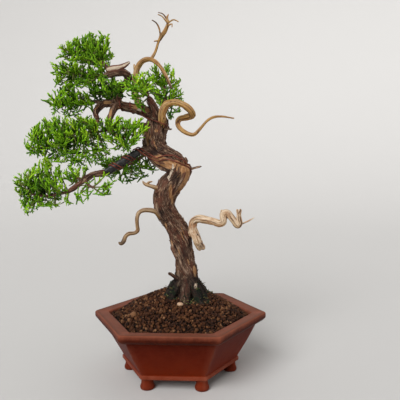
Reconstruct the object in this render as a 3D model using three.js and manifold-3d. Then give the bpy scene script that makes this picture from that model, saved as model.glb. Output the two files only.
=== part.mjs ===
// Itoigawa juniper bonsai in its six-sided unglazed clay pot.
// Millimetres, +Z up, the front is seen along +Y. Everything is placed from the pot's axis, with the soles
// of its feet at z = 0. The last lines move the plant so that the middle of its base is the origin.

import * as THREE from 'three';
import { mergeVertices } from 'three/addons/utils/BufferGeometryUtils.js';
import Module from 'manifold-3d';

// Driving dimensions. Corner sizes of the pot are radii from its axis to a corner of the hexagon.
const clearance = 0.35;
const footRadius = 6.5;
const footHeight = 10;
const footCentre = 50.6;
const bandCorner = 59.8;
const bandTop = 13.9;
const bodyCorner = 78.2;
const rimCorner = 87.4;
const rimUnder = 51;
const rimTop = 59.6;
const mouthCorner = 72.6;
const wall = 7.6;
const floorTop = 16.3;
const drainRadius = 11;
const screenWide = 34;
const screenThick = 1;
const soilEdge = 57;
const soilPeak = { x: -1, y: 26, z: 78 };
const soilCorner = 71.4;
const granule = 0.9;
const barkDepth = 0.06;
const wrapOuter = 4.1;
const wireRadius = 0.6;
const wireStep = 3.2;
const twigRadius = 1.15;
const leafyRings = 3;
const ringStep = 2.9;
const needleLength = 7.2;
const needleRoom = 0.75;
const needleShare = 0.84;

const wasm = await Module();
wasm.setup();

// The same numbers on every run, from 0 to 1.
function seeded(seed) {
  let state = seed;
  return () => {
    state = (state + 0x6d2b79f5) | 0;
    let mixed = Math.imul(state ^ (state >>> 15), 1 | state);
    mixed = (mixed + Math.imul(mixed ^ (mixed >>> 7), 61 | mixed)) ^ mixed;
    return ((mixed ^ (mixed >>> 14)) >>> 0) / 4294967296;
  };
}

function solid(geometry) {
  geometry.deleteAttribute('normal');
  geometry.deleteAttribute('uv');
  const merged = mergeVertices(geometry);
  const vertProperties = new Float32Array(merged.attributes.position.array);
  const triVerts = new Uint32Array(merged.index.array);
  return new wasm.Manifold(new wasm.Mesh({ numProp: 3, vertProperties, triVerts }));
}

function joined(bodies) {
  return bodies.reduce((whole, body) => whole.add(body));
}

function largest(body) {
  return body.decompose().sort((a, b) => b.volume() - a.volume())[0];
}

function geometryOf(body) {
  const { vertProperties, triVerts } = body.getMesh();
  const geometry = new THREE.BufferGeometry();
  geometry.setAttribute('position', new THREE.BufferAttribute(vertProperties, 3));
  geometry.setIndex(new THREE.BufferAttribute(triVerts, 1));
  geometry.computeVertexNormals();
  return geometry;
}

// Stations along a smooth line through hand-placed points [x, y, z, radius].
function stationsAlong(points, steps) {
  const places = points.map(([x, y, z]) => new THREE.Vector3(x, y, z));
  const curve = new THREE.CatmullRomCurve3(places, false, 'centripetal');
  const frames = curve.computeFrenetFrames(steps, false);
  const stations = [];
  for (let i = 0; i <= steps; i++) {
    const along = curve.getUtoTmapping(i / steps) * (points.length - 1);
    const before = Math.min(Math.floor(along), points.length - 2);
    const radius = THREE.MathUtils.lerp(points[before][3], points[before + 1][3], along - before);
    stations.push({
      centre: curve.getPointAt(i / steps),
      radius,
      tangent: frames.tangents[i],
      normal: frames.normals[i],
      binormal: frames.binormals[i],
    });
  }
  return stations;
}

// A closed tube of changing thickness over the stations: a unit cylinder bent along them. Grown by some
// clearance, it cuts the room that a neighbour leaves for it.
function tubeOver(stations, sides, grown = 0, relief = () => 1) {
  const steps = stations.length - 1;
  const tube = new THREE.CylinderGeometry(1, 1, 1, sides, steps);
  const place = tube.attributes.position;
  for (let i = 0; i < place.count; i++) {
    const row = Math.round((place.getY(i) + 0.5) * steps);
    const station = stations[row];
    const angle = Math.atan2(place.getZ(i), place.getX(i));
    const share = Math.hypot(place.getX(i), place.getZ(i));
    const reach = share * (station.radius * relief(angle, station.centre.z) + grown);
    const beyond = row === 0 ? -grown : row === steps ? grown : 0;
    const point = station.centre.clone()
      .addScaledVector(station.normal, Math.cos(angle) * reach)
      .addScaledVector(station.binormal, -Math.sin(angle) * reach)
      .addScaledVector(station.tangent, beyond);
    place.setXYZ(i, point.x, point.y, point.z);
  }
  return solid(tube);
}

// Room that is taken: the wood, the wire and the needles that are already placed, as rods with an owner.
const taken = [];

function take(owner, from, to, radius, shoot = null) {
  taken.push({ owner, shoot, rod: new THREE.Line3(from, to), radius, middle: from.clone().lerp(to, 0.5) });
}

function rodGap(a, b) {
  let nearest = Infinity;
  const spot = new THREE.Vector3();
  const foot = new THREE.Vector3();
  for (const [one, other] of [[a, b], [b, a]]) {
    for (const share of [0, 0.25, 0.5, 0.75, 1]) {
      one.at(share, spot);
      other.closestPointToPoint(spot, true, foot);
      nearest = Math.min(nearest, spot.distanceTo(foot));
    }
  }
  return nearest;
}

function isFree(owner, shoot, rod, radius) {
  const middle = rod.getCenter(new THREE.Vector3());
  return taken.every((other) => {
    if (other.shoot === shoot) {
      return true;
    }
    const room = radius + other.radius + (other.owner === owner ? 0 : clearance);
    const near = room + (rod.distance() + other.rod.distance()) / 2;
    return other.middle.distanceToSquared(middle) > near * near || rodGap(rod, other.rod) > room;
  });
}

// The wood: trunk and living branches, one body under brown bark.
const trunkLow = [
  [6, 13, 50, 8], [6, 12.5, 59, 19], [6, 12, 68, 22], [6, 11.5, 75, 19.5], [6.4, 11, 81, 16],
  [6.8, 10, 87, 12.4], [6.9, 9, 94, 10.2], [5.6, 8, 106, 9.1], [3.4, 7, 121, 9.3], [0, 5, 138, 9.6],
  [-8.2, 2, 153.6, 8.9], [-12.3, -1, 161.5, 8.9], [-13.4, -2, 169, 9.5], [-11.6, -3, 177, 10.2],
  [-7.5, -5, 185, 10.4], [-1.2, -6, 192, 9.9], [3.8, -7, 199, 9.9], [4.8, -7, 205, 8.6], [4.8, -7, 209, 4.5],
];
const trunkHigh = [
  [8.5, -7.5, 202, 4.5], [4, -7, 204.5, 9], [-3.4, -5, 209.4, 9.9], [-14.6, -1, 216.2, 9.8], [-21, 2, 223, 10],
  [-23.5, 4, 231, 10.5], [-22.7, 5, 239, 10.1], [-20.9, 6, 247, 10], [-20.2, 6, 254, 8.8], [-20, 6, 260, 4],
];
const leftLimb = [
  [-18, 6, 249, 6.2], [-27.8, 6, 259.5, 5.3], [-34.8, 5, 262.3, 5.1], [-43.7, 4, 265, 4.4], [-51.9, 4, 267.2, 4],
  [-59, 4, 269.2, 3.6], [-66.8, 6, 271.3, 2.9], [-75.6, 8, 271.3, 2.6], [-82, 8, 266.9, 2.4], [-84.1, 6, 260.5, 2.2],
  [-81, 4, 254.5, 1.9],
];
const hangingLimb = [
  [-56, 3.5, 268.5, 3], [-61.7, 1, 266.9, 2.8], [-64, -3, 260.9, 2.5], [-65.6, -6, 254.5, 2.2], [-66.1, -8, 248.5, 2],
];
const outerTwig = [[-71, 7.5, 271.4, 2.2], [-78, 9.5, 272.3, 2], [-86.2, 12, 274.3, 1.8], [-95, 14, 273.4, 1.5]];
const leader = [
  [-56, 4, 268, 3.6], [-60.3, 4, 272, 3.6], [-60.7, 3, 277.6, 3.5], [-56.2, 2, 284.3, 3.4], [-50, 0, 290.2, 3.4],
  [-47.9, -3, 295.4, 3.4], [-50.9, -6, 298.2, 3.5], [-57.7, -7, 298.1, 3.4], [-66, -6, 297.2, 3], [-72, -4, 296.4, 2.3],
];
const topTwig = [[-66, -5.5, 297, 2.2], [-68.2, -4, 303, 1.8], [-71, -2.5, 308, 1.6]];
const frontBranch = [[-19.1, 2, 252, 4.4], [-22.3, -2, 263.4, 3.8], [-24.9, -6, 269.6, 3.4], [-27, -8.5, 274, 2.5]];
const backBranch = [[-18.7, 9, 250, 3.7], [-16.6, 20, 265.2, 2.9], [-14.2, 24, 274, 2.2]];
const firstBranch = [
  [-20, 1, 225, 4.4], [-26, -2, 222, 3.9], [-33.2, -6, 222, 2.9], [-40.7, -9, 218.2, 2.8], [-49.1, -12, 212.2, 2.8],
  [-58.6, -14, 206.4, 2.7], [-67.4, -15, 201.2, 2.5], [-74.1, -16, 199.5, 2.5], [-79.8, -17, 198.7, 2.3],
  [-86.5, -18, 195.5, 2.1], [-93.7, -18, 190.2, 1.9], [-100.8, -18, 184.9, 1.7], [-106.5, -18, 181.5, 1.4],
];
const rearLimb = [[-21, 8, 238, 3.7], [-26, 18, 244.5, 3.4], [-36, 27, 250, 2.8], [-51, 36, 251, 2.3], [-67, 43.5, 250, 1.8]];
const elbowTwig = [[7, -5.5, 201.5, 1.7], [12.5, -4.5, 202.4, 1.5], [19, -4.5, 204.1, 1.1], [25, -5, 205.5, 0.6]];
const neckTwig = [[-14, 2, 242, 1.1], [-9, 1, 243, 0.9], [-4.6, 1, 243.4, 0.6]];
const footStub = [[2, 4, 89.5, 1.9], [-1.9, 0.5, 92.1, 1.7], [-6.8, -1, 96.4, 1.5], [-10.7, -2, 98.8, 1.2]];
const roots = [
  [[2, 9, 92, 5.5], [-8, 5, 85, 6], [-16, 1, 78, 5], [-23, -3, 70, 4], [-29, -6, 60, 3]],
  [[12, 8, 90, 5.5], [20, 4, 83, 5.6], [28, 0, 76, 4.6], [34, -4, 68, 3.6], [38, -7, 59, 3]],
  [[7, 4, 90, 6], [8, -4, 83, 6.5], [8, -11, 76, 6], [8, -18, 68, 4.6], [8, -23, 58, 3]],
  [[8, 14, 90, 6], [14, 23, 82, 5.5], [20, 32, 75, 4.6], [25, 40, 66, 3.4]],
];
const looseRoot = [[12, 9, 94, 1], [18, 7, 91.5, 0.8], [23, 5, 86, 0.7], [27, 3, 78, 0.7], [29, 2, 66, 0.6]];

// Deadwood: branches stripped of their bark, grey-tan to orange, each one body.
const ringJin = [
  [-36, 5.5, 261, 3], [-39.4, 6.5, 268, 3], [-41.8, 8, 276.1, 3], [-43.9, 9, 287.4, 2.9], [-43, 9, 297.5, 2.8],
  [-39.9, 9, 308, 2.6], [-34.5, 8, 313.3, 2.4], [-27.6, 7, 314.4, 2.2], [-21.2, 5, 310.9, 1.9], [-15.4, 3, 304.4, 1.7],
  [-10.4, 1, 296.4, 1.5], [-6.5, -1, 287.8, 1.3], [-4, -3, 281.9, 1],
];
const crownJin = [
  [-27, 7, 312.5, 1.8], [-25, 7.2, 316, 1.5], [-22.1, 8, 321.2, 1.3], [-18.4, 9, 331.8, 1.3], [-15.8, 10, 337.6, 1.9],
  [-12, 10, 342.9, 1.9], [-9.1, 10, 350.3, 1.7], [-9.6, 10, 355.8, 1.1], [-8, 10, 360, 0.5],
];
const crownForks = [
  [[-16.4, 9.5, 337, 1.1], [-18, 8, 346.4, 0.8], [-20.4, 7, 350.4, 0.7], [-25, 6, 353.3, 0.6]],
  [[-17.5, 9, 333, 1], [-20, 7.5, 332.6, 0.8], [-23.1, 6, 331.7, 0.6]],
  [[-9.6, 10, 354.5, 0.9], [-13.6, 8.5, 359.4, 0.7], [-18.8, 7, 360.8, 0.5]],
  [[-9.4, 9.5, 351, 0.9], [-14.1, 7, 356.4, 0.6], [-18.5, 5, 358.1, 0.5]],
  [[-9.4, 10, 350.5, 0.9], [-2.8, 8, 353.2, 0.7], [2.7, 7, 350.4, 0.5]],
  [[-9.6, 10, 347.5, 0.9], [-4.6, 8, 349.1, 0.7], [-4.4, 7, 345.1, 0.6]],
  [[-41.6, 9, 302, 2.1], [-43.4, 9.3, 307, 1.4], [-44.3, 9.5, 311, 0.7]],
];
const loopJin = [
  [-16.5, 2, 245, 3.7], [-14.4, -2, 251, 3.6], [-13.3, -5, 259.3, 3.5], [-8.9, -7, 266.2, 3.3], [-0.3, -9, 267.8, 2.9],
  [8.6, -10, 264.7, 2.9], [14.8, -9, 259.4, 3.1], [15.8, -4, 255.8, 3.1], [9.1, 3, 254.8, 2.9], [2.2, 6, 253.8, 2.5],
  [0.5, 3, 248.2, 2.2], [5.4, -2, 241.6, 2], [11.7, -5, 237.6, 1.8], [17.6, -7, 236.3, 1.7], [23.8, -8, 241.7, 1.4],
  [30.3, -9, 248.7, 1.3], [37.1, -9, 252.5, 1.2], [44.4, -8, 253.2, 1], [57.4, -7, 251.2, 0.7],
];
const rightJin = [
  [22.3, -2, 125, 3.2], [20.6, -2, 131.5, 3.8], [17.3, -1, 138.4, 3.8], [14.9, -1, 145.2, 3.5], [15.6, -2, 150.5, 3.2],
  [19.8, -4, 154, 3], [26.8, -7, 154.1, 2.8], [35.6, -10, 152.1, 2.5], [42.9, -11, 149.4, 2.3], [46.7, -12, 152, 2.1],
  [45.9, -12, 159, 1.9], [48.6, -12, 160.7, 1.9], [53.2, -11, 155, 2.1], [58.4, -10, 147.2, 2.1], [60.7, -11, 149.3, 1.8],
  [59.9, -12, 155.5, 1.5], [61.3, -13, 162.9, 0.9],
];
const rightJinRoot = [[2, 5, 136, 3.6], [10, 3.5, 137.6, 3.4], [17, 0, 138.8, 3.2]];
const rightJinWhip = [[59.5, -10.5, 147.2, 1.2], [68.7, -9, 150.8, 0.8], [76.1, -7, 154.8, 0.5]];
const leftJin = [
  [-10, 0, 152, 2.8], [-17.6, -4, 156.4, 2.5], [-21.8, -7, 161.2, 2.2], [-30.8, -10, 162.9, 2], [-34.9, -11, 162.1, 1.9],
  [-37.8, -12, 159.7, 1.9], [-39.2, -12, 154.7, 1.8], [-39.3, -11, 147.1, 1.7], [-38.9, -10.5, 143, 1.8],
  [-41.3, -11, 140.6, 1.75], [-47.8, -13, 139.7, 1.8], [-50.7, -14, 136.9, 1.9], [-52.4, -15, 132.6, 2],
  [-54.7, -16, 130.4, 1.6], [-57.1, -17, 132.1, 1.1],
];
const leftStub = [[-12, -4, 181.5, 2.8], [-17.8, -7, 184, 2.5], [-26.1, -11, 186.8, 1.8], [-30.8, -12, 188.5, 1.5], [-33, -13, 191.5, 0.8]];
const leftStubSpur = [[-29.5, -11.5, 187.6, 1.1], [-26.6, -12.5, 190.2, 1], [-22.9, -13.5, 191, 0.6]];
const apexFlap = [[-66.5, -9.5, 301.4, 2.2], [-61.3, -9.5, 302.6, 2.5], [-55.3, -9.5, 303.4, 2.2], [-49.3, -9, 305.6, 1.5], [-45, -8, 308, 0.8]];

// Foliage: each pad has one stem, and a shoot runs from it to each tip [x, y, z].
const pads = {
  foliage_crown_top: {
    stem: [[-70.4, -3, 306.6, 1.6], [-76, 0, 313, 1.6], [-85, 3, 320, 1.5], [-97, 5, 323, 1.3], [-107, 6, 324, 1.1]],
    tips: [
      [-77, 5, 341], [-67, -4, 334], [-82, -11, 335], [-95, 11, 339], [-99, -5, 331], [-111, 7, 333],
      [-115, -3, 325], [-120, 6, 319], [-88, 25, 335], [-110, 24, 328], [-69, 17, 322],
      [-91, -15, 311], [-77, -15, 306], [-87, 18, 313],
    ],
  },
  foliage_crown_mid: {
    stem: [[-71, -4, 296.5, 1.9], [-82, -3, 297.5, 1.7], [-95, 0, 300, 1.5], [-109, 4, 303, 1.3], [-117, 6, 305, 1.1]],
    tips: [
      [-126, 2, 311], [-129, 11, 303], [-120, -2, 294], [-109, -9, 308], [-96, -14, 305],
      [-88, -16, 287], [-113, 12, 287], [-113, 26, 308], [-95, 24, 303],
    ],
  },
  foliage_crown_back: {
    stem: [[-57.6, 4.6, 281.4, 1.9], [-62, 11, 285, 1.6], [-71, 15, 285.5, 1.3], [-79, 16, 284, 1.1]],
    tips: [
      [-65, 10, 296], [-60, 22, 292], [-82, 20, 295], [-91, 13, 283], [-74, 28, 279], [-64, 20, 274], [-82, 14, 275],
    ],
  },
  foliage_crown_low: {
    stem: [[-93.5, 13.6, 273.6, 1.5], [-104, 12, 273, 1.4], [-114, 10, 273, 1.2], [-123, 8, 273, 1.1]],
    tips: [
      [-137, 8, 272], [-129, -1, 279], [-124, 13, 284], [-110, -8, 279], [-99, -4, 281], [-126, 3, 263],
      [-119, 28, 276], [-105, 27, 279], [-102, 0, 261], [-113, 7, 259],
    ],
  },
  foliage_middle: {
    stem: [[-81, 4.2, 255.4, 1.8], [-84, 0, 245, 1.7], [-94, -2, 237, 1.6], [-111, 0, 232, 1.5], [-129, 2, 229, 1.3], [-143, 3, 227, 1.1]],
    tips: [
      [-135, 2, 255], [-121, -7, 255], [-144, 12, 251], [-146, -3, 244], [-155, 8, 240], [-156, 0, 229], [-155, 9, 221],
      [-126, 5, 215], [-106, -12, 252], [-96, -8, 254], [-118, -16, 238],
      [-103, -20, 238], [-89, -20, 240], [-110, 19, 249], [-107, -7, 207], [-116, 4, 217], [-135, -2, 217],
      [-94, -12, 212], [-83, -4, 215], [-71, 2, 219],
    ],
  },
  foliage_inner: {
    stem: [[-66.1, -7.9, 249, 1.8], [-62.5, -12, 241, 1.6], [-55, -16, 235, 1.4], [-46, -17, 234, 1.1]],
    tips: [
      [-65, -20, 251], [-54, -18, 251], [-44, -22, 247], [-34, -12, 250], [-67, -23, 234],
      [-52, -28, 230], [-35, -19, 231], [-58, -8, 223], [-46, -16, 222],
    ],
  },
  foliage_front: {
    stem: [[-26.8, -8.2, 273.4, 2.2], [-28, -12, 279, 1.6], [-30, -14, 283, 1.2]],
    tips: [[-39, -12, 291], [-31, -16, 294], [-23, -12, 290], [-41, -19, 279], [-32, -25, 277], [-21, -19, 279]],
  },
  foliage_right: {
    stem: [[-14.3, 23.8, 273, 2], [-15, 26, 283, 1.6], [-16, 27, 291, 1.3], [-17, 27, 299, 1.1]],
    tips: [
      [-25, 22, 311], [-12, 29, 313], [-32, 28, 302], [-5, 20, 304], [-1, 32, 295],
      [0, 20, 285], [3, 26, 264], [-9, 30, 261], [-24, 38, 278],
    ],
  },
  foliage_first_tip: {
    stem: [[-105.5, -18, 182, 1.3], [-118, -18, 179, 1.4], [-129, -17, 178, 1.3], [-139, -16, 179, 1.2], [-147, -15, 181, 1.1]],
    tips: [
      [-126, -15, 208], [-118, -8, 203], [-132, -28, 203], [-147, -12, 200], [-156, -21, 196], [-161, -8, 191],
      [-157, -16, 181], [-155, -11, 169], [-148, -20, 163], [-119, -33, 191], [-138, 0, 188], [-121, -12, 168],
      [-105, -24, 171], [-136, -12, 168],
    ],
  },
  foliage_first_back: {
    stem: [[-92, -18, 191.5, 1.4], [-95, -17, 195, 1.3], [-99, -15, 196.5, 1.1]],
    tips: [[-111, -12, 199], [-101, -22, 203], [-98, -9, 203], [-88, -15, 204]],
  },
  foliage_first_twig: {
    stem: [[-89, -18, 193.4, 1.4], [-83, -20, 187, 1.3], [-77, -21, 186, 1.1]],
    tips: [[-70, -19, 195], [-61, -24, 189], [-66, -20, 178], [-85, -23, 176], [-96, -20, 177]],
  },
  foliage_under: {
    stem: [[-25, 7, 226, 2.2], [-36, 10, 218, 1.8], [-47, 12, 211, 1.5], [-60, 14, 207, 1.2]],
    tips: [
      [-27, 12, 203], [-39, 16, 195], [-51, 8, 191], [-64, 20, 194], [-75, 14, 199], [-81, 8, 209],
      [-73, 27, 215],
    ],
  },
  foliage_rear: {
    stem: [[-66, 43, 250, 1.8], [-83, 48, 249, 1.6], [-100, 50, 247, 1.3], [-114, 50, 248, 1.1]],
    tips: [
      [-131, 49, 253], [-115, 42, 261], [-96, 53, 264], [-79, 47, 262], [-124, 60, 240],
      [-92, 58, 237],
    ],
  },
};

function wrinkled(angle, height) {
  const ridges = Math.sin(3 * angle + height * 0.09) + 0.6 * Math.sin(5 * angle - height * 0.16 + 1);
  const flare = THREE.MathUtils.smoothstep(96 - height, 0, 16);
  return 1 + barkDepth * ridges + 0.13 * flare * Math.cos(4 * angle + 0.8);
}

function knotty(angle, height) {
  return 1 + 0.07 * Math.sin(2 * angle + height * 0.5);
}

// Each limb as [points, sides, steps, relief].
const rooted = [[trunkLow, 10, 25, wrinkled], [looseRoot, 4, 5], ...roots.map((root) => [root, 5, 4])];
const wood = [
  ...rooted, [trunkHigh, 10, 15, wrinkled], [leftLimb, 6, 15, knotty], [hangingLimb, 5, 6],
  [outerTwig, 5, 4], [leader, 6, 13, knotty], [topTwig, 5, 3], [frontBranch, 6, 4, knotty], [backBranch, 5, 4],
  [firstBranch, 6, 17, knotty], [rearLimb, 5, 7], [elbowTwig, 4, 3], [neckTwig, 4, 2], [footStub, 4, 3],
];

function limbs(list, owner, grown = 0) {
  return joined(list.map(([points, sides, steps, relief]) => {
    const stations = stationsAlong(points, steps);
    if (owner) {
      for (let i = 1; i < stations.length; i++) {
        const radius = Math.max(stations[i - 1].radius, stations[i].radius) * 1.1;
        take(owner, stations[i - 1].centre, stations[i].centre, radius);
      }
    }
    return tubeOver(stations, sides, grown, relief);
  }));
}

const trunk = limbs(wood, 'trunk');
const aroundTrunk = limbs(wood, null, clearance);

function deadwood(list, owner) {
  return largest(limbs(list, owner).subtract(aroundTrunk));
}

// Pot: one fired piece, a lathed profile of [corner, z, ease] whose rings are hexagons with eased corners.
// The drain hole's rings have no ease and stay round.
function potRing(index, corner, ease) {
  const part = (index % 3) - 1;
  const away = (Math.floor(index / 3) * Math.PI) / 3;
  if (!ease) {
    const even = away + (part * Math.PI) / 9;
    return [corner * Math.cos(even), corner * Math.sin(even)];
  }
  const inset = part === 0 ? ease * 0.268 : 0;
  const slide = part === 0 ? 0 : ease;
  const edge = away + (part * Math.PI * 2) / 3;
  return [
    (corner - inset) * Math.cos(away) + slide * Math.cos(edge),
    (corner - inset) * Math.sin(away) + slide * Math.sin(edge),
  ];
}

function potBody() {
  const inner = bandCorner - wall;
  const profile = [
    [drainRadius, footHeight, 0], [bandCorner - 2.2, footHeight, 3], [bandCorner, footHeight + 1.1, 3],
    [bandCorner, bandTop, 3], [bandCorner - 1.2, bandTop + 0.9, 3], [69.6, 33, 3], [bodyCorner - 1, rimUnder - 3.5, 3],
    [bodyCorner, rimUnder - 0.6, 3], [rimCorner - 3.2, rimUnder + 0.5, 4], [rimCorner, rimUnder + 3.6, 4],
    [rimCorner, rimTop - 2, 4], [rimCorner - 2, rimTop, 4], [mouthCorner + 1, rimTop - 0.8, 1.5],
    [mouthCorner, rimTop - 2, 1.5], [inner, floorTop + 1, 1.5], [inner - 1, floorTop, 1.5],
    [drainRadius, floorTop, 0], [drainRadius, footHeight, 0],
  ];
  const turned = new THREE.LatheGeometry(profile.map(([corner, z]) => new THREE.Vector2(corner, z)), 18);
  const place = turned.attributes.position;
  for (let i = 0; i < place.count; i++) {
    const [corner, z, ease] = profile[i % profile.length];
    const [x, y] = potRing(Math.floor(i / profile.length) % 18, corner, ease);
    place.setXYZ(i, x, y, z);
  }
  return solid(turned);
}

function foot(index) {
  const profile = [[0, 0], [footRadius - 1.3, 0], [footRadius, 3.4], [footRadius - 0.5, footHeight + 1], [0, footHeight + 1]];
  const bun = new THREE.LatheGeometry(profile.map(([r, z]) => new THREE.Vector2(r, z)), 8);
  bun.rotateX(Math.PI / 2);
  const away = (index * Math.PI) / 3;
  bun.translate(footCentre * Math.cos(away), footCentre * Math.sin(away), 0);
  return solid(bun);
}

const pot = joined([potBody(), ...[0, 1, 2, 3, 4, 5].map(foot)]);

// Plastic screen over the drain hole.
const screenHoles = 3;
const screenPitch = 8;
const screenHole = 5.5;

function block(wide, tall, x, y, z) {
  const cuboid = new THREE.BoxGeometry(wide, wide, tall);
  cuboid.translate(x, y, z);
  return solid(cuboid);
}

function drainScreen() {
  const z = floorTop + clearance + screenThick / 2;
  let plate = block(screenWide, screenThick, 0, 0, z);
  const outermost = ((screenHoles - 1) / 2) * screenPitch;
  for (let column = 0; column < screenHoles; column++) {
    for (let row = 0; row < screenHoles; row++) {
      const x = column * screenPitch - outermost;
      const y = row * screenPitch - outermost;
      plate = plate.subtract(block(screenHole, 2 * screenThick, x, y, z));
    }
  }
  return plate;
}

// Soil: fills the pot and rises in a mound to the tree's foot, its top broken into granules.
const soilRings = 12;
const hexNormals = [0, 1, 2, 3, 4, 5].map((i) => [Math.cos((i + 0.5) * Math.PI / 3), Math.sin((i + 0.5) * Math.PI / 3)]);

function soilHeight(x, y) {
  const flat = soilCorner * Math.cos(Math.PI / 6);
  const sum = hexNormals.reduce((total, [nx, ny]) => {
    const share = ((x - soilPeak.x) * nx + (y - soilPeak.y) * ny) / (flat - soilPeak.x * nx - soilPeak.y * ny);
    return total + Math.max(share, 0) ** 8;
  }, 0);
  const outward = Math.min(sum ** (1 / 8), 1);
  return soilEdge + (soilPeak.z - soilEdge) * (1 - outward ** 2);
}

function soilBody() {
  const random = seeded(11);
  const spots = [];
  const faces = [];
  const first = (ring) => (ring === 0 ? 0 : 1 + 3 * ring * (ring - 1));
  const spot = (ring, side, step) => (ring === 0 ? 0 : first(ring) + (side * ring + step) % (6 * ring));
  const corner = (side) => [Math.cos(side * Math.PI / 3), Math.sin(side * Math.PI / 3)];
  for (let ring = 0; ring <= soilRings; ring++) {
    for (let side = 0; side < (ring ? 6 : 1); side++) {
      for (let step = 0; step < Math.max(ring, 1); step++) {
        const [ax, ay] = corner(side);
        const [bx, by] = corner(side + 1);
        const scale = soilCorner / soilRings;
        const x = scale * (ax * (ring - step) + bx * step);
        const y = scale * (ay * (ring - step) + by * step);
        const rough = ring === soilRings ? 0 : 2 * random() - 1;
        spots.push(x, y, soilHeight(x, y) + granule * rough);
        if (ring) {
          faces.push(spot(ring, side, step), spot(ring, side, step + 1), spot(ring - 1, side, step));
        }
        if (step) {
          faces.push(spot(ring, side, step), spot(ring - 1, side, step), spot(ring - 1, side, step - 1));
        }
      }
    }
  }
  const base = spots.length / 3;
  for (let side = 0; side < 6; side++) {
    const [x, y] = corner(side);
    const under = bandCorner - wall - 1.4;
    spots.push(x * under, y * under, floorTop + clearance);
    for (let step = 0; step < soilRings; step++) {
      faces.push(spot(soilRings, side, step + 1), spot(soilRings, side, step), base + side);
    }
    faces.push(base + side, base + (side + 1) % 6, spot(soilRings, side, soilRings));
  }
  for (let side = 1; side < 5; side++) {
    faces.push(base, base + side + 1, base + side);
  }
  const geometry = new THREE.BufferGeometry();
  geometry.setAttribute('position', new THREE.Float32BufferAttribute(spots, 3));
  geometry.setIndex(faces);
  const room = block(screenWide + 2 * clearance, 2 * (screenThick + 2 * clearance), 0, 0, floorTop);
  return largest(solid(geometry).subtract(room).subtract(limbs(rooted, null, 0.55)));
}

// A pale pebble on the soil in front of the trunk.
const pebbleSize = [2.7, 2.2, 1.9];
const pebbleSpot = [3.9, -24];

function pebble() {
  const stone = new THREE.IcosahedronGeometry(1, 1);
  stone.scale(...pebbleSize);
  const [x, y] = pebbleSpot;
  stone.translate(x, y, soilHeight(x, y) + granule + pebbleSize[2] * 0.9);
  return solid(stone);
}

// Black rubber tape round the bent part of the first branch.
const wrapFrom = 0.15;
const wrapTo = 0.6;

function wrap() {
  const along = stationsAlong(firstBranch, 60);
  const stations = along.filter((station, i) => i % 3 === 0 && i >= 60 * wrapFrom && i <= 60 * wrapTo);
  for (let i = 1; i < stations.length; i++) {
    take('branch_wrap', stations[i - 1].centre, stations[i].centre, wrapOuter);
  }
  const taped = stations.map((station) => ({ ...station, radius: wrapOuter }));
  return largest(tubeOver(taped, 8).subtract(aroundTrunk));
}

// Copper-red training wire: a rough route of hand-placed points and turns round a limb, then let down onto
// whatever wood, tape or wire lies in its way. An angle of 0 is the front.
const front = new THREE.Vector3(0, -1, 0);

function turnsRound(points, { from, to, start, turns, around = 0 }) {
  const stations = stationsAlong(points, 60);
  const count = Math.ceil(turns * 10);
  const route = [];
  for (let i = 0; i <= count; i++) {
    const station = stations[Math.round(THREE.MathUtils.lerp(from, to, i / count) * 60)];
    const angle = (start + turns * (i / count)) * Math.PI * 2;
    const ahead = front.clone().addScaledVector(station.tangent, -front.dot(station.tangent)).normalize();
    const aside = station.tangent.clone().cross(ahead);
    const reach = Math.max(around, station.radius) + wireRadius + clearance;
    const point = station.centre.clone().addScaledVector(ahead, Math.cos(angle) * reach);
    route.push(point.addScaledVector(aside, Math.sin(angle) * reach));
  }
  return route;
}

function wire(owner, anchor, limb, winding) {
  const rough = [...anchor.map(([x, y, z]) => new THREE.Vector3(x, y, z)), ...turnsRound(limb, winding)];
  const curve = new THREE.CatmullRomCurve3(rough, false, 'centripetal');
  const route = curve.getSpacedPoints(Math.round(curve.getLength() / wireStep));
  const foot = new THREE.Vector3();
  for (let pass = 0; pass < 8; pass++) {
    for (const point of route) {
      for (const { rod, radius } of taken) {
        const room = radius + wireRadius + clearance + 0.3;
        rod.closestPointToPoint(point, true, foot);
        if (point.distanceTo(foot) < room) {
          point.sub(foot).setLength(room).add(foot);
        }
      }
    }
  }
  const points = route.map((point) => [point.x, point.y, point.z, wireRadius]);
  return limbs([[points, 3, points.length]], owner);
}

// One shoot: a slim three-sided twig, smooth from the stem, and covered with needles over its outer part.
// Each face of the leafy part is raised into a needle where there is room for it.
function shoot(root, tip, owner, random) {
  const length = root.distanceTo(tip);
  const bend = root.clone().lerp(tip, 0.55);
  bend.z -= 0.16 * length;
  const route = new THREE.QuadraticBezierCurve3(root, bend, tip);
  const steps = Math.max(Math.round(route.getLength() / ringStep), leafyRings + 1);
  const bare = steps - leafyRings;
  const frames = route.computeFrenetFrames(steps, false);
  const rows = [0, bare];
  for (let i = bare + 1; i <= steps; i++) {
    rows.push(i);
  }
  const kept = rows.filter((row, i) => row !== rows[i - 1]);
  const rings = kept.map((row, i) => {
    const share = row / steps;
    const radius = twigRadius * (1 - 0.35 * share);
    return [0, 1, 2].map((side) => {
      const angle = side * (Math.PI * 2 / 3) + i * 0.5;
      return route.getPointAt(share)
        .addScaledVector(frames.normals[row], Math.cos(angle) * radius)
        .addScaledVector(frames.binormals[row], Math.sin(angle) * radius);
    });
  });
  return { route, kept, rings, bare, steps, tangents: frames.tangents, owner, random, id: Symbol(owner) };
}

function needle(a, b, c, forward, random) {
  const out = b.clone().sub(a).cross(c.clone().sub(a)).normalize();
  const jitter = new THREE.Vector3(random() - 0.5, random() - 0.5, random() - 0.3).multiplyScalar(0.22);
  const way = out.multiplyScalar(0.8).addScaledVector(forward, 0.75).add(jitter).normalize();
  const middle = a.clone().add(b).add(c).divideScalar(3);
  return new THREE.Line3(middle, middle.clone().addScaledVector(way, needleLength * (0.75 + 0.45 * random())));
}

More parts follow.
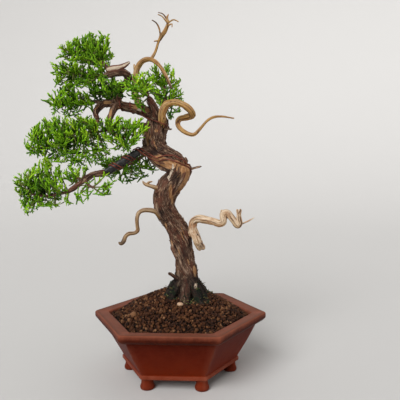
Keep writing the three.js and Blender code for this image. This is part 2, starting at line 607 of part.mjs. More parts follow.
function dressed({ kept, rings, bare, steps, tangents, owner, random, id }) {
  const spots = [];
  const face = (...corners) => corners.forEach((corner) => spots.push(corner.x, corner.y, corner.z));
  const raise = (a, b, c, row) => {
    const spike = needle(a, b, c, tangents[row], random);
    if (row < bare || random() > needleShare || !isFree(owner, id, spike, needleRoom)) {
      face(a, b, c);
      return;
    }
    take(owner, spike.start, spike.end, needleRoom, id);
    face(a, b, spike.end);
    face(b, c, spike.end);
    face(c, a, spike.end);
  };
  for (let i = 1; i < rings.length; i++) {
    for (let side = 0; side < 3; side++) {
      const next = (side + 1) % 3;
      raise(rings[i - 1][side], rings[i - 1][next], rings[i][side], kept[i - 1]);
      raise(rings[i - 1][next], rings[i][next], rings[i][side], kept[i - 1]);
    }
  }
  face(rings[0][0], rings[0][2], rings[0][1]);
  raise(rings.at(-1)[0], rings.at(-1)[1], rings.at(-1)[2], steps);
  const geometry = new THREE.BufferGeometry();
  geometry.setAttribute('position', new THREE.Float32BufferAttribute(spots, 3));
  return solid(geometry);
}

// Where on the stem a shoot to this tip leaves: near the tip, and a little back from it.
function rootFor(curve, tip) {
  let best = 0;
  let nearest = Infinity;
  for (let i = 0; i <= 40; i++) {
    const gap = curve.getPointAt(i / 40).distanceTo(tip);
    if (gap < nearest) {
      nearest = gap;
      best = i / 40;
    }
  }
  const share = Math.max(best - (0.35 * nearest) / curve.getLength(), 0.06);
  return curve.getPointAt(share);
}

function planned(name, { stem, tips }, seed) {
  const random = seeded(seed);
  const curve = new THREE.CatmullRomCurve3(stem.map(([x, y, z]) => new THREE.Vector3(x, y, z)), false, 'centripetal');
  const shoots = tips.map(([x, y, z]) => {
    const tip = new THREE.Vector3(x, y, z);
    const root = rootFor(curve, tip);
    const end = tip.clone().add(root.clone().sub(tip).setLength(0.8 * needleLength));
    return shoot(root, end, name, random);
  });
  const body = limbs([[stem, 4, stem.length + 1]], name);
  for (const { route, id } of shoots) {
    for (let i = 0; i < 6; i++) {
      take(name, route.getPointAt(i / 6), route.getPointAt((i + 1) / 6), twigRadius, id);
    }
  }
  return { name, body, shoots };
}

function grownPad({ body, shoots }) {
  return largest(joined([body, ...shoots.map(dressed)]).subtract(aroundTrunk));
}

// Finishes: colour, roughness and metalness.
const finishes = {
  clay: [0x7a3324, 0.85, 0],
  plastic: [0x1b1b1b, 0.7, 0],
  soil: [0x5b3520, 0.95, 0],
  pebble: [0xcdb79a, 0.7, 0],
  bark: [0x5a3a2c, 0.9, 0],
  deadwood: [0xb08a5c, 0.75, 0],
  rubber: [0x17171c, 0.6, 0],
  wire: [0x6b3a2c, 0.45, 0.9],
  leaf: [0x3f7d1e, 0.6, 0],
};

const plant = new THREE.Group();

function add(name, body, finish) {
  const [color, roughness, metalness] = finishes[finish];
  const mesh = new THREE.Mesh(geometryOf(body), new THREE.MeshStandardMaterial({ color, roughness, metalness }));
  mesh.name = name;
  plant.add(mesh);
}

add('pot', pot, 'clay');
add('drain_screen', drainScreen(), 'plastic');
add('soil', soilBody(), 'soil');
add('pebble', pebble(), 'pebble');
add('trunk', trunk, 'bark');
const thinForks = crownForks.map((points) => [points, 3, points.length - 1]);
add('jin_crown', deadwood([[ringJin, 5, 20, knotty], [crownJin, 4, 9], ...thinForks], 'jin_crown'), 'deadwood');
add('jin_loop', deadwood([[loopJin, 5, 34, knotty]], 'jin_loop'), 'deadwood');
add('jin_right', deadwood([[rightJin, 5, 28, knotty], [rightJinRoot, 5, 2], [rightJinWhip, 3, 2]], 'jin_right'), 'deadwood');
add('jin_left', deadwood([[leftJin, 5, 20, knotty]], 'jin_left'), 'deadwood');
add('jin_stub', deadwood([[leftStub, 5, 4], [leftStubSpur, 4, 2]], 'jin_stub'), 'deadwood');
add('jin_apex', deadwood([[apexFlap, 5, 5]], 'jin_apex'), 'deadwood');
add('branch_wrap', wrap(), 'rubber');
add('wire_branch_1', wire(
  'wire_branch_1',
  [[12, -1, 199], [11, -10, 203], [3, -16, 209], [-8, -14, 212], [-19, -11, 211]],
  firstBranch,
  { from: 0.19, to: 0.55, start: -0.05, turns: 2.6, around: wrapOuter },
), 'wire');
add('wire_branch_2', wire(
  'wire_branch_2',
  [[13, 0, 203], [10, -9, 207], [1, -14, 214], [-9, -12, 216.5], [-18, -10, 214]],
  firstBranch,
  { from: 0.16, to: 0.52, start: -0.05, turns: 2.6, around: wrapOuter },
), 'wire');
add('wire_limb', wire(
  'wire_limb',
  [[-12, 14, 244], [-9, 6, 246], [-11, -4, 247], [-19, -7, 250], [-26, -3, 252.5]],
  leftLimb,
  { from: 0.24, to: 0.6, start: -0.15, turns: 2.7 },
), 'wire');

const plans = Object.entries(pads).map(([name, pad], i) => planned(name, pad, 100 + i));
for (const plan of plans) {
  add(plan.name, grownPad(plan), 'leaf');
}

const box = new THREE.Box3().setFromObject(plant);
const middle = box.getCenter(new THREE.Vector3());
plant.position.set(-middle.x, -middle.y, -box.min.z);

export default plant;
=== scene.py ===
# Itoigawa juniper bonsai in its six-sided unglazed clay pot.
# Places and sizes are millimetres from the pot's axis, with the soles of its feet at z = 0.

import math

import bmesh
import bpy
import numpy as np
from mathutils import Matrix, Vector
from mathutils.bvhtree import BVHTree


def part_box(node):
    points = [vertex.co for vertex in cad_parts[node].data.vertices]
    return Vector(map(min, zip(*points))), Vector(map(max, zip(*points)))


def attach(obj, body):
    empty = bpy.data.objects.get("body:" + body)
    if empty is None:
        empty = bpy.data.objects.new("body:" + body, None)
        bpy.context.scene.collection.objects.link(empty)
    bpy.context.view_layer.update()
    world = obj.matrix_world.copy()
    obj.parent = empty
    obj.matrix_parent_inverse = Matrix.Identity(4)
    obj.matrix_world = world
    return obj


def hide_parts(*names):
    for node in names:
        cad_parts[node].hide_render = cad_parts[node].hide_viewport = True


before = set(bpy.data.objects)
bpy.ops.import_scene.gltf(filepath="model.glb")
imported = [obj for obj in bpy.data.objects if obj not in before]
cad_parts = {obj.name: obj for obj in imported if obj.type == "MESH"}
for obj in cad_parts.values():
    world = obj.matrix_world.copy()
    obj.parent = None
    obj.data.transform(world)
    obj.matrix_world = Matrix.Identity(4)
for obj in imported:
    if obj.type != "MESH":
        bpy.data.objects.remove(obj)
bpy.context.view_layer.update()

mm = 0.001
potLow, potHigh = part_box("pot")
potAxis = np.array(((potLow.x + potHigh.x) / 2, (potLow.y + potHigh.y) / 2, potLow.z))
up = np.array((0.0, 0.0, 1.0))


# Camera and light

cameraSetup = {
    "lens": 40.3,
    "sensor": 36.0,
    "clip": (0.02, 30),
    "place": (54.9, -446.1, 190.2),
    "yaw": 4.18,
    "pitch": -2.34,
    "roll": -0.68,
}
studio = {
    "paper": (0.575, 0.567, 0.556),
    "flatReach": 1.3,
    "bend": 3.6,
    "height": 6.5,
    "air": (0.93, 0.92, 0.91),
    "airStrength": 0.50,
    "lamps": [
        {"name": "keyLight", "from": (-0.38, -0.80, 0.72), "spread": 38, "strength": 2.85},
        {"name": "sideFill", "from": (0.85, -0.45, 0.35), "spread": 60, "strength": 0.45},
        {"name": "backFill", "from": (0.30, 0.80, 0.60), "spread": 60, "strength": 0.22},
    ],
}


def toFrame(points):
    return np.asarray(points, float) * mm + potAxis


def newObject(name, data):
    made = bpy.data.objects.new(name, data)
    bpy.context.scene.collection.objects.link(made)
    return made


def placeCamera(setup):
    yaw, pitch, roll = (math.radians(setup[key]) for key in ("yaw", "pitch", "roll"))
    ahead = Vector((-math.sin(yaw) * math.cos(pitch), math.cos(yaw) * math.cos(pitch), math.sin(pitch)))
    level = Vector((math.cos(yaw), math.sin(yaw), 0))
    above = level.cross(ahead)
    right = level * math.cos(roll) + above * math.sin(roll)
    top = above * math.cos(roll) - level * math.sin(roll)
    data = bpy.data.cameras.new("photoCamera")
    data.lens = setup["lens"]
    data.sensor_width = setup["sensor"]
    data.clip_start, data.clip_end = setup["clip"]
    camera = newObject("photoCamera", data)
    turned = Matrix((right, top, -ahead)).transposed().to_4x4()
    camera.matrix_world = Matrix.Translation(toFrame(setup["place"])) @ turned
    bpy.context.scene.camera = camera


def placeLamp(lamp):
    data = bpy.data.lights.new(lamp["name"], "SUN")
    data.angle = math.radians(lamp["spread"])
    data.energy = lamp["strength"]
    light = newObject(lamp["name"], data)
    light.location = lamp["from"]
    light.rotation_mode = "QUATERNION"
    light.rotation_quaternion = Vector(lamp["from"]).to_track_quat("Z", "Y")


# Materials: a Value is one output socket, and arithmetic on it adds Math nodes

class Value:
    def __init__(self, finish, socket):
        self.finish = finish
        self.socket = socket

    def maths(self, operation, one, other, clamp=False):
        return self.finish.add("Math", {"operation": operation, "use_clamp": clamp}, {0: one, 1: other})

    def __add__(self, other):
        return self.maths("ADD", self, other)

    def __sub__(self, other):
        return self.maths("SUBTRACT", self, other)

    def __rsub__(self, other):
        return self.maths("SUBTRACT", other, self)

    def __mul__(self, other):
        return self.maths("MULTIPLY", self, other)

    __radd__ = __add__
    __rmul__ = __mul__

    def clamped(self):
        return self.maths("ADD", self, 0.0, clamp=True)

    def step(self, low, high):
        values = {"Value": self, "From Min": low, "From Max": high}
        return self.finish.add("MapRange", {"interpolation_type": "SMOOTHSTEP"}, values)


class Finish:
    def __init__(self, name):
        self.material = bpy.data.materials.new(name)
        self.material.use_nodes = True
        self.tree = self.material.node_tree
        self.tree.nodes.clear()
        self.place = self.add("TexCoord", output="Object")

    def add(self, kind, settings=None, values=None, output=0):
        node = self.tree.nodes.new("ShaderNode" + kind)
        for key, setting in (settings or {}).items():
            if key == "stops":
                self.setStops(node.color_ramp, setting)
            else:
                setattr(node, key, setting)
        for key, value in (values or {}).items():
            socket = node.inputs[key]
            if isinstance(value, Value):
                self.tree.links.new(value.socket, socket)
            else:
                socket.default_value = (*value, 1) if socket.type == "RGBA" else value
        return Value(self, node.outputs[output]) if node.outputs else None

    def setStops(self, ramp, stops):
        while len(ramp.elements) < len(stops):
            ramp.elements.new(0.5)
        for element, (place, colour) in zip(ramp.elements, stops.items()):
            element.position = place
            element.color = (*colour, 1)

    def painted(self, name, output="Fac"):
        return self.add("Attribute", {"attribute_name": name}, output=output)

    def noise(self, scale, detail, rough, bend=0.0, vector=None):
        values = {"Vector": vector or self.place, "Scale": scale, "Detail": detail}
        return self.add("TexNoise", None, {**values, "Roughness": rough, "Distortion": bend})

    def grained(self, stretch, detail, rough, bend=0.0):
        # noise drawn out along the limb that a point lies on
        values = {0: self.painted("grain", "Vector"), 1: stretch}
        vector = self.add("VectorMath", {"operation": "MULTIPLY"}, values)
        return self.noise(1.0, detail, rough, bend, vector)

    def cells(self, scale):
        return self.add("TexVoronoi", None, {"Vector": self.place, "Scale": scale})

    def ramp(self, value, stops):
        return self.add("ValToRGB", {"stops": stops}, {0: value})

    def layered(self, colour, layers):
        # each layer is (how much of it shows, its colour)
        for share, over in layers:
            colour = self.add("Mix", {"data_type": "RGBA"}, {0: share, 6: colour, 7: over}, 2)
        return colour

    def done(self, colour, rough, relief=None, more=None):
        # relief is (height, strength, depth in metres)
        values = {"Base Color": colour, "Roughness": rough, **(more or {})}
        if relief:
            height, strength, depth = relief
            bump = {"Height": height, "Strength": strength, "Distance": depth}
            values["Normal"] = self.add("Bump", None, bump)
        shader = self.add("BsdfPrincipled", None, values)
        self.add("OutputMaterial", None, {"Surface": shader})
        return self.material


def paperFinish():
    finish = Finish("palePaper")
    rough = 0.92 + 0.06 * finish.noise(3, 3, 0.5)
    return finish.done(studio["paper"], rough, None, {"Specular IOR Level": 0.1})


# Shapes: smooth noise, smooth lines, tubes and skins

def hashed(cells, seed):
    mixed = cells @ (73856093, 19349663, 83492791) + seed * 2654435
    mixed = (mixed ^ (mixed >> 13)) * 1274126177 & 0xFFFFFFFF
    mixed = (mixed ^ (mixed >> 15)) * 2246822519 & 0xFFFFFFFF
    return ((mixed ^ (mixed >> 16)) & 0xFFFFFF) / 0x7FFFFF - 1.0


def lumps(points, size, seed, octaves=1):
    # smooth noise from about -1 to 1, its lumps as large as size, which may differ by axis
    scaled = np.asarray(points, float) / np.asarray(size, float)
    total = np.zeros(len(scaled))
    weight = 1.0
    whole = 0.0
    for octave in range(octaves):
        base = np.floor(scaled).astype(np.int64)
        share = scaled - base
        share = share * share * (3 - 2 * share)
        for corner in range(8):
            offset = np.array((corner & 1, corner >> 1 & 1, corner >> 2 & 1))
            blend = np.prod(np.where(offset == 1, share, 1 - share), axis=1)
            total += weight * blend * hashed(base + offset, seed + octave * 101)
        whole += weight
        weight *= 0.5
        scaled = scaled * 2.03 + 17.3
    return total / whole


def ridges(points, size, seed, steep=2.2):
    return 1 - np.abs(lumps(points, size, seed, 2)) * steep


def smoothstep(low, high, values):
    share = np.clip((values - low) / (high - low), 0, 1)
    return share * share * (3 - 2 * share)


def lengths(vectors):
    return np.linalg.norm(vectors, axis=-1)


def unit(vectors):
    return vectors / np.maximum(lengths(vectors)[..., None], 1e-9)


def runAlong(line):
    return np.concatenate(([0], np.cumsum(lengths(np.diff(line[:, :3], axis=0)))))


def smoothLine(points, step):
    # a smooth line through given points, at even steps, the last number of each being the radius
    points = np.asarray(points, float)
    padded = np.vstack((2 * points[0] - points[1], points, 2 * points[-1] - points[-2]))
    fine = []
    for i in range(1, len(padded) - 2):
        near = padded[i - 1:i + 3]
        before, here, there, after = near
        first, span, last = (math.sqrt(np.linalg.norm((b - a)[:3])) for a, b in zip(near, near[1:]))
        leave = (here - before) / first - (there - before) / (first + span) + (there - here) / span
        reach = (there - here) / span - (after - here) / (span + last) + (after - there) / last
        leave *= span
        reach *= span
        bend = -3 * here + 3 * there - 2 * leave - reach
        close = 2 * here - 2 * there + leave + reach
        for share in np.linspace(0, 1, 17)[:-1]:
            spot = here + leave * share + bend * share ** 2 + close * share ** 3
            spot[3:] = here[3:] + (there[3:] - here[3:]) * share
            fine.append(spot)
    fine = np.array(fine + [padded[-2]])
    run = runAlong(fine)
    marks = np.linspace(0, run[-1], max(int(round(run[-1] / step)), 2) + 1)
    return np.stack([np.interp(marks, run, column) for column in fine.T], axis=1)


def framesAlong(line):
    # at each point of a line: the way ahead and two ways across it that turn as little as they can
    ahead = unit(np.gradient(line[:, :3], axis=0))
    side = np.zeros_like(ahead)
    start = np.cross(ahead[0], (0, 1, 0) if abs(ahead[0][1]) < 0.9 else (1, 0, 0))
    side[0] = start / np.linalg.norm(start)
    for i in range(1, len(ahead)):
        turned = side[i - 1] - ahead[i] * (side[i - 1] @ ahead[i])
        side[i] = turned / np.linalg.norm(turned)
    return ahead, side, np.cross(ahead, side)


def bands(rows, around, closed=False):
    # the four-sided faces between rings of points, and from the last ring to the first if closed
    row, column = np.meshgrid(np.arange(rows if closed else rows - 1), np.arange(around), indexing="ij")
    low = row * around
    high = (row + 1) % rows * around
    there = (column + 1) % around
    return np.stack((low + column, low + there, high + there, high + column), axis=-1).reshape(-1, 4)


def fan(ring, around, tip):
    # three-sided faces from a ring to one point
    here = np.arange(around)
    return np.stack((ring + here, ring + (here + 1) % around, np.full(around, tip)), axis=1)


def ringFaces(rows, around):
    # the faces of a closed form: its rings of points, then its low end point and its high one
    count = rows * around
    low = fan(0, around, count)[:, [1, 0, 2]]
    high = fan(count - around, around, count + 1)
    return [bands(rows, around), low, high]


def tube(line, around, roundEnds=True, swell=None):
    # a closed tube over a line of [x, y, z, radius]; swell(angle, run) changes its radius
    _, side, over = framesAlong(line)
    radius = line[:, 3].copy()
    run = runAlong(line)
    if roundEnds:
        for gap, end in ((run, radius[0]), (run[-1] - run, radius[-1])):
            inside = np.clip(gap / max(end, 1e-6), 0, 1)
            radius = radius * np.sqrt(np.clip(1 - (1 - inside) ** 2, 0.04, 1))
    angle = np.arange(around) * 2 * math.pi / around
    reach = radius[:, None] * (swell(angle[None, :], run[:, None]) if swell else np.ones(around))
    ring = (
        line[:, None, :3]
        + side[:, None] * (np.cos(angle) * reach)[..., None]
        + over[:, None] * (np.sin(angle) * reach)[..., None]
    )
    verts = np.concatenate((ring.reshape(-1, 3), line[:1, :3], line[-1:, :3]))
    return verts, ringFaces(len(line), around)


def turnedForm(profile, around, x=0, y=0):
    # a small turned form from (reach, height) pairs, closed on its axis
    angle = np.arange(around) * 2 * math.pi / around
    rings = [
        np.stack((x + reach * np.cos(angle), y + reach * np.sin(angle), np.full(around, z)), axis=1)
        for reach, z in profile[1:-1]
    ]
    ends = [(x, y, profile[0][1]), (x, y, profile[-1][1])]
    return np.concatenate([*rings, ends]), ringFaces(len(rings), around)


def joinedParts(parts):
    # several (verts, faces) as one
    verts = []
    faces = []
    base = 0
    for spots, groups in parts:
        verts.append(spots)
        faces += [group + base for group in groups]
        base += len(spots)
    return np.concatenate(verts), faces


def repeated(faces, points, count):
    # the faces of many like forms, each with so many points
    faces = np.asarray(faces)
    return (faces[None] + (np.arange(count) * points)[:, None, None]).reshape(-1, faces.shape[1])


def makeMesh(name, verts, faces):
    mesh = bpy.data.meshes.new(name)
    groups = [np.asarray(group) for group in faces if len(group)]
    corners = np.concatenate([group.reshape(-1) for group in groups])
    sizes = np.concatenate([np.full(len(group), group.shape[1]) for group in groups])
    starts = np.concatenate(([0], np.cumsum(sizes)[:-1]))
    mesh.vertices.add(len(verts))
    mesh.vertices.foreach_set("co", np.ascontiguousarray(verts, np.float32).ravel())
    mesh.loops.add(len(corners))
    mesh.loops.foreach_set("vertex_index", corners.astype(np.int32))
    mesh.polygons.add(len(sizes))
    mesh.polygons.foreach_set("loop_start", starts.astype(np.int32))
    mesh.polygons.foreach_set("use_smooth", np.ones(len(sizes), bool))
    mesh.update(calc_edges=True)
    mesh.validate()
    return mesh


def addPiece(name, verts, faces, materials, replaced=(), painted=None, which=None):
    # verts in millimetres; painted holds one number or vector a point; which is the material of each face
    mesh = makeMesh(name, toFrame(verts), faces)
    for key, values in (painted or {}).items():
        values = np.asarray(values, np.float32)
        kind, part = ("FLOAT_VECTOR", "vector") if values.ndim == 2 else ("FLOAT", "value")
        mesh.attributes.new(key, kind, "POINT").data.foreach_set(part, values.ravel())
    for material in materials:
        mesh.materials.append(material)
    if which is not None:
        mesh.polygons.foreach_set("material_index", np.asarray(which, np.int32))
    piece = newObject(name, mesh)
    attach(piece, "root")
    if replaced:
        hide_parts(*replaced)
    print(name, "made,", sum((group.shape[1] - 2) * len(group) for group in faces), "triangles")
    return piece


def fused(verts, faces, voxel):
    # one skin round overlapping closed parts, as (verts, quads)
    mesh = makeMesh("rough", verts * mm, faces)
    rough = newObject("rough", mesh)
    remesh = rough.modifiers.new("remesh", "REMESH")
    remesh.mode = "VOXEL"
    remesh.voxel_size = voxel * mm
    graph = bpy.context.evaluated_depsgraph_get()
    skin = rough.evaluated_get(graph).to_mesh()
    spots = np.zeros(len(skin.vertices) * 3, np.float32)
    skin.vertices.foreach_get("co", spots)
    corners = np.zeros(len(skin.loops), np.int32)
    skin.loops.foreach_get("vertex_index", corners)
    rough.evaluated_get(graph).to_mesh_clear()
    bpy.data.objects.remove(rough)
    bpy.data.meshes.remove(mesh)
    return spots.reshape(-1, 3).astype(float) / mm, corners.reshape(-1, 4).astype(np.int64)


def relaxed(verts, quads, passes):
    pairs = np.concatenate([quads[:, (k, (k + 1) % 4)] for k in range(4)])
    one, other = np.unique(np.sort(pairs, axis=1), axis=0).T
    degree = np.bincount(np.concatenate((one, other)), minlength=len(verts)).astype(float)[:, None]
    for _ in range(passes):
        total = np.zeros_like(verts)
        for k in range(3):
            total[:, k] = np.bincount(one, verts[other, k], len(verts))
            total[:, k] += np.bincount(other, verts[one, k], len(verts))
        verts = 0.5 * verts + 0.5 * total / np.maximum(degree, 1)
    return verts


def normalsOf(verts, quads):
    across = np.cross(verts[quads[:, 2]] - verts[quads[:, 0]], verts[quads[:, 3]] - verts[quads[:, 1]])
    total = np.zeros_like(verts)
    for k in range(4):
        for axis in range(3):
            total[:, axis] += np.bincount(quads[:, k], across[:, axis], len(verts))
    return unit(total)


def nearestOn(spots, rods):
    # for each spot: the number of the nearest [x, y, z, radius] and the gap to its surface
    nearest = np.zeros(len(spots), np.int64)
    gap = np.zeros(len(spots))
    for start in range(0, len(spots), 3000):
        block = slice(start, start + 3000)
        gaps = lengths(spots[block, None] - rods[None, :, :3]) - rods[None, :, 3]
        nearest[block] = np.argmin(gaps, axis=1)
        gap[block] = np.min(gaps, axis=1)
    return nearest, gap


def alongLimbs(verts, lines):
    # where each point lies on its nearest limb, as if that were straight, with the limb's radius there
    rods = np.concatenate(lines)
    ahead, side, over = (np.concatenate(ways) for ways in zip(*(framesAlong(line) for line in lines)))
    runs = np.concatenate([runAlong(line) + 400 * i for i, line in enumerate(lines)])
    nearest, _ = nearestOn(verts, rods)
    away = verts - rods[nearest, :3]
    across, above, slide = (np.sum(away * ways[nearest], axis=1) for ways in (side, over, ahead))
    angle = np.arctan2(above, across)
    radius = rods[nearest, 3]
    straight = np.stack((np.cos(angle) * radius, np.sin(angle) * radius, runs[nearest] + slide), axis=1)
    return straight, radius, nearest


def grownSkin(lines, arounds, setup):
    # one skin over limbs that grow into each other, and where it lies along them
    verts, faces = joinedParts([tube(line, around) for line, around in zip(lines, arounds)])
    verts, quads = fused(verts, faces, setup["voxel"])
    verts = relaxed(verts, quads, setup["smoothing"])
    return (verts, quads, *alongLimbs(verts, lines))


def surfaceOf(pieces):
    verts = []
    faces = []
    base = 0
    for piece in pieces:
        mesh = piece.data
        spots = np.zeros(len(mesh.vertices) * 3, np.float32)
        mesh.vertices.foreach_get("co", spots)
        verts.append((spots.reshape(-1, 3) - potAxis) / mm)
        faces += [[base + i for i in polygon.vertices] for polygon in mesh.polygons]
        base += len(mesh.vertices)
    return BVHTree.FromPolygons([tuple(v) for v in np.concatenate(verts)], faces)


# Pot: cut and joined as a hexagon, unglazed, with eased corners and six bun feet

pot = {
    "drain": 11.0,
    "footHeight": 10.0,
    "footCentre": 50.6,
    "footProfile": [
        (0, 0), (5.4, 0), (6.3, 0.5), (6.7, 1.7), (6.6, 3.2),
        (6.0, 4.4), (5.6, 5.8), (5.5, 8), (5.8, 10.8), (0, 10.8),
    ],
    "band": 59.8,
    "bandTop": 13.9,
    "belly": (69.6, 33),
    "body": 78.2,
    "rim": 87.4,
    "rimUnder": 51.0,
    "rimTop": 59.6,
    "mouth": 72.6,
    "wall": 7.6,
    "floor": 16.3,
    "bodyEase": 1.7,
    "rimEase": 2.2,
    "mouthEase": 1.5,
    "roundShare": 0.12,
    "cornerSteps": 5,
    "flatSteps": 14,
    "longest": 3.4,
    "wear": (0.48, 0.5, 0.28),
    # clay colours of the body: the upper one darker as painted shade under the rim, the lower one lighter
    # as painted reflected light; each ramp's mottling is the clay's own
    "shadedUpperClay": {0.3: (0.054, 0.0048, 0.002), 0.52: (0.07, 0.0066, 0.0026), 0.72: (0.092, 0.01, 0.004)},
    "litLowerClay": {0.3: (0.092, 0.008, 0.0015), 0.52: (0.12, 0.0112, 0.002), 0.72: (0.15, 0.016, 0.003)},
    # painted shade under the rim
    "underRimShade": (0.026, 0.0070, 0.0040),
    "brighter": (0.112, 0.018, 0.007),
    "lip": (0.135, 0.048, 0.028),
    "worn": (0.27, 0.080, 0.046),
    "dust": (0.16, 0.055, 0.035),
    "specks": (0.025, 0.006, 0.003),
}


def clayFinish():
    finish = Finish("unglazedClay")
    height = finish.add("SeparateXYZ", None, {0: finish.place}, "Z")
    cloud = finish.noise(22, 4, 0.6)
    fine = finish.noise(260, 4, 0.7)
    grit = finish.cells(620)
    colour = finish.layered(finish.ramp(cloud, pot["litLowerClay"]), [
        # painted light by height: the lower body lighter as painted reflected light, the upper body
        # darker as painted shade under the rim
        (height.step(0.012, 0.052), finish.ramp(cloud, pot["shadedUpperClay"])),
        # painted shade under the rim: a dark colour laid over all the clay from just below the rim's
        # underside up
        (height.step(0.0492, 0.0512) * 0.7, pot["underRimShade"]),
        (0.4 * fine.step(0.42, 0.7), pot["brighter"]),
        (finish.painted("lip") * (0.6 + 0.5 * fine), pot["lip"]),
        ((finish.painted("worn") * (0.5 + fine)).clamped(), pot["worn"]),
        ((1 - (height * 60.0).clamped()) * 0.2, pot["dust"]),
        ((1 - grit.step(0.08, 0.2)) * 0.35, pot["specks"]),
    ])
    relief = fine * 0.7 + grit * 0.5 + cloud * 0.3
    shine = {"Specular IOR Level": 0.07, "Specular Tint": (1.0, 0.35, 0.2)}
    return finish.done(colour, 0.42 + 0.22 * fine, (relief, 0.25, 0.0004), shine)


def roundRing(cornerSteps, flatSteps):
    # a round ring with its points placed as hexRing places them
    share = pot["roundShare"]
    bend = share * np.arange(-cornerSteps, cornerSteps + 1) / cornerSteps
    flat = share + (math.pi / 3 - 2 * share) * np.arange(1, flatSteps) / flatSteps
    angle = np.concatenate([side * math.pi / 3 + np.concatenate((bend, flat)) for side in range(6)])
    return np.column_stack((np.cos(angle), np.sin(angle)))


def hexRing(corner, ease, cornerSteps, flatSteps):
    # one six-sided ring with rounded corners, from the middle of its first corner
    bend = ease / math.tan(math.pi / 6)
    back = corner - bend / math.cos(math.pi / 6)
    turns = math.pi / 6 * np.arange(-cornerSteps, cornerSteps + 1) / cornerSteps
    corners = []
    for side in range(6):
        facing = side * math.pi / 3
        turn = facing + turns
        corners.append(np.column_stack((
            back * math.cos(facing) + bend * np.cos(turn),
            back * math.sin(facing) + bend * np.sin(turn),
        )))
    shares = np.arange(1, flatSteps)[:, None] / flatSteps
    ring = []
    for here, there in zip(corners, [*corners[1:], corners[0]]):
        ring += [here, here[-1] + (there[0] - here[-1]) * shares]
    return np.concatenate(ring)


def filleted(profile, longest):
    # a closed profile of (corner, z, ease, fillet), its corners rounded and its runs cut to short steps
    places = np.array(profile, float)
    rounded = []
    for i, (*here, size) in enumerate(places):
        here = np.array(here)
        before = places[i - 1, :3]
        after = places[(i + 1) % len(places), :3]
        if not size:
            rounded.append(here)
            continue
        back = here + (before - here) * min(size / np.linalg.norm((before - here)[:2]), 0.45)
        on = here + (after - here) * min(size / np.linalg.norm((after - here)[:2]), 0.45)
        for share in (0, 0.25, 0.5, 0.75, 1):
            rounded.append((1 - share) ** 2 * back + 2 * share * (1 - share) * here + share ** 2 * on)
    steps = []
    for here, there in zip(rounded, [*rounded[1:], rounded[0]]):
        pieces = max(int(np.linalg.norm((there - here)[:2]) / longest), 1)
        steps += [here + (there - here) * k / pieces for k in range(pieces)]
    return steps


def potProfile():
    # from the drain hole out under the pot, up its side, over the rim and down inside
    low, band, bandTop = pot["footHeight"], pot["band"], pot["bandTop"]
    under, top, rim, mouth = pot["rimUnder"], pot["rimTop"], pot["rim"], pot["mouth"]
    floor, inner = pot["floor"], band - pot["wall"]
    body, lip, inside = pot["bodyEase"], pot["rimEase"], pot["mouthEase"]
    return [
        (pot["drain"], low, 0, 0.6), (band - 2.2, low, body, 0.6), (band, low + 1.1, body, 0.8),
        (band, bandTop, body, 0.7), (band - 1.2, bandTop + 0.9, body, 0.9), (*pot["belly"], body, 8),
        (pot["body"] - 1, under - 3.5, body, 3), (pot["body"], under - 0.6, body, 0.5),
        (rim - 3.0, under + 0.5, lip, 0.7), (rim, under + 3.2, lip, 1.1), (rim, top - 1.2, lip, 0.8),
        (rim - 1.4, top, lip, 0.9), (mouth + 1, top - 0.8, inside, 1.2), (mouth, top - 2, inside, 1),
        (inner, floor + 1, inside, 1), (inner - 1, floor, inside, 0), (pot["drain"], floor, 0, 0.6),
    ]


def buildPot():
    steps = filleted(potProfile(), pot["longest"])
    fineness = pot["cornerSteps"], pot["flatSteps"]
    circle = roundRing(*fineness)
    rings = []
    for corner, z, ease in steps:
        share = 1 - min(ease / pot["mouthEase"], 1)
        flat = hexRing(corner, max(ease, 0.4), *fineness) * (1 - share) + circle * corner * share
        rings.append(np.column_stack((flat, np.full(len(flat), z))))
    verts = np.concatenate(rings)
    wobble = 0.28 * lumps(verts, 28, 5, 2) + 0.07 * lumps(verts, 4, 6)
    outward = verts * (1, 1, 0)
    low = pot["footHeight"]
    free = smoothstep(20, 50, lengths(outward)) * smoothstep(low, low + 3, verts[:, 2])
    verts = verts + unit(outward) * (wobble * free)[:, None]
    feet = []
    for k in range(6):
        x, y = (pot["footCentre"] * turn(k * math.pi / 3) for turn in (math.cos, math.sin))
        feet.append(turnedForm(pot["footProfile"], 32, x, y))
    verts, faces = joinedParts([(verts, [bands(len(steps), len(circle), closed=True)]), *feet])
    height, top = verts[:, 2], pot["rimTop"]
    away = lengths(verts[:, :2])
    inside = smoothstep(top - 12, top - 4, height) * (away < pot["mouth"] * 1.01)
    lip = np.clip(smoothstep(top - 1.6, top - 0.4, height) + 0.6 * inside, 0, 1)
    edge = np.abs(height - top + 1.1) < 1.0
    band = (height < pot["bandTop"] + 0.6) & (height > low - 0.2)
    turn = np.abs((np.degrees(np.arctan2(verts[:, 1], verts[:, 0])) + 30) % 60 - 30)
    atCorner = smoothstep(3.2, 0, turn) * (away > 50)
    edgeWear, bandWear, cornerWear = pot["wear"]
    worn = edgeWear * edge + bandWear * band * (away > 45) + cornerWear * atCorner
    worn = np.clip(worn * (0.7 + 0.5 * lumps(verts, 6, 9, 2)), 0, 1)
    addPiece("clay_pot", verts, faces, [clayFinish()], ["pot"], {"lip": lip, "worn": worn})


# Drain screen: a moulded plastic net over the hole in the pot's floor

drainNet = {
    "wide": 34.0,
    "thick": 1.0,
    "rib": 0.55,
    "edgeRib": 0.6,
    "pitch": 4.0,
    "lift": 0.35,
    "plastic": {0.3: (0.012, 0.012, 0.013), 0.7: (0.028, 0.027, 0.027)},
}


def plasticFinish():
    finish = Finish("blackPlastic")
    grain = finish.noise(900, 2, 0.6)
    return finish.done(finish.ramp(grain, drainNet["plastic"]), 0.42 + 0.2 * grain, (grain, 0.2, 0.0002))


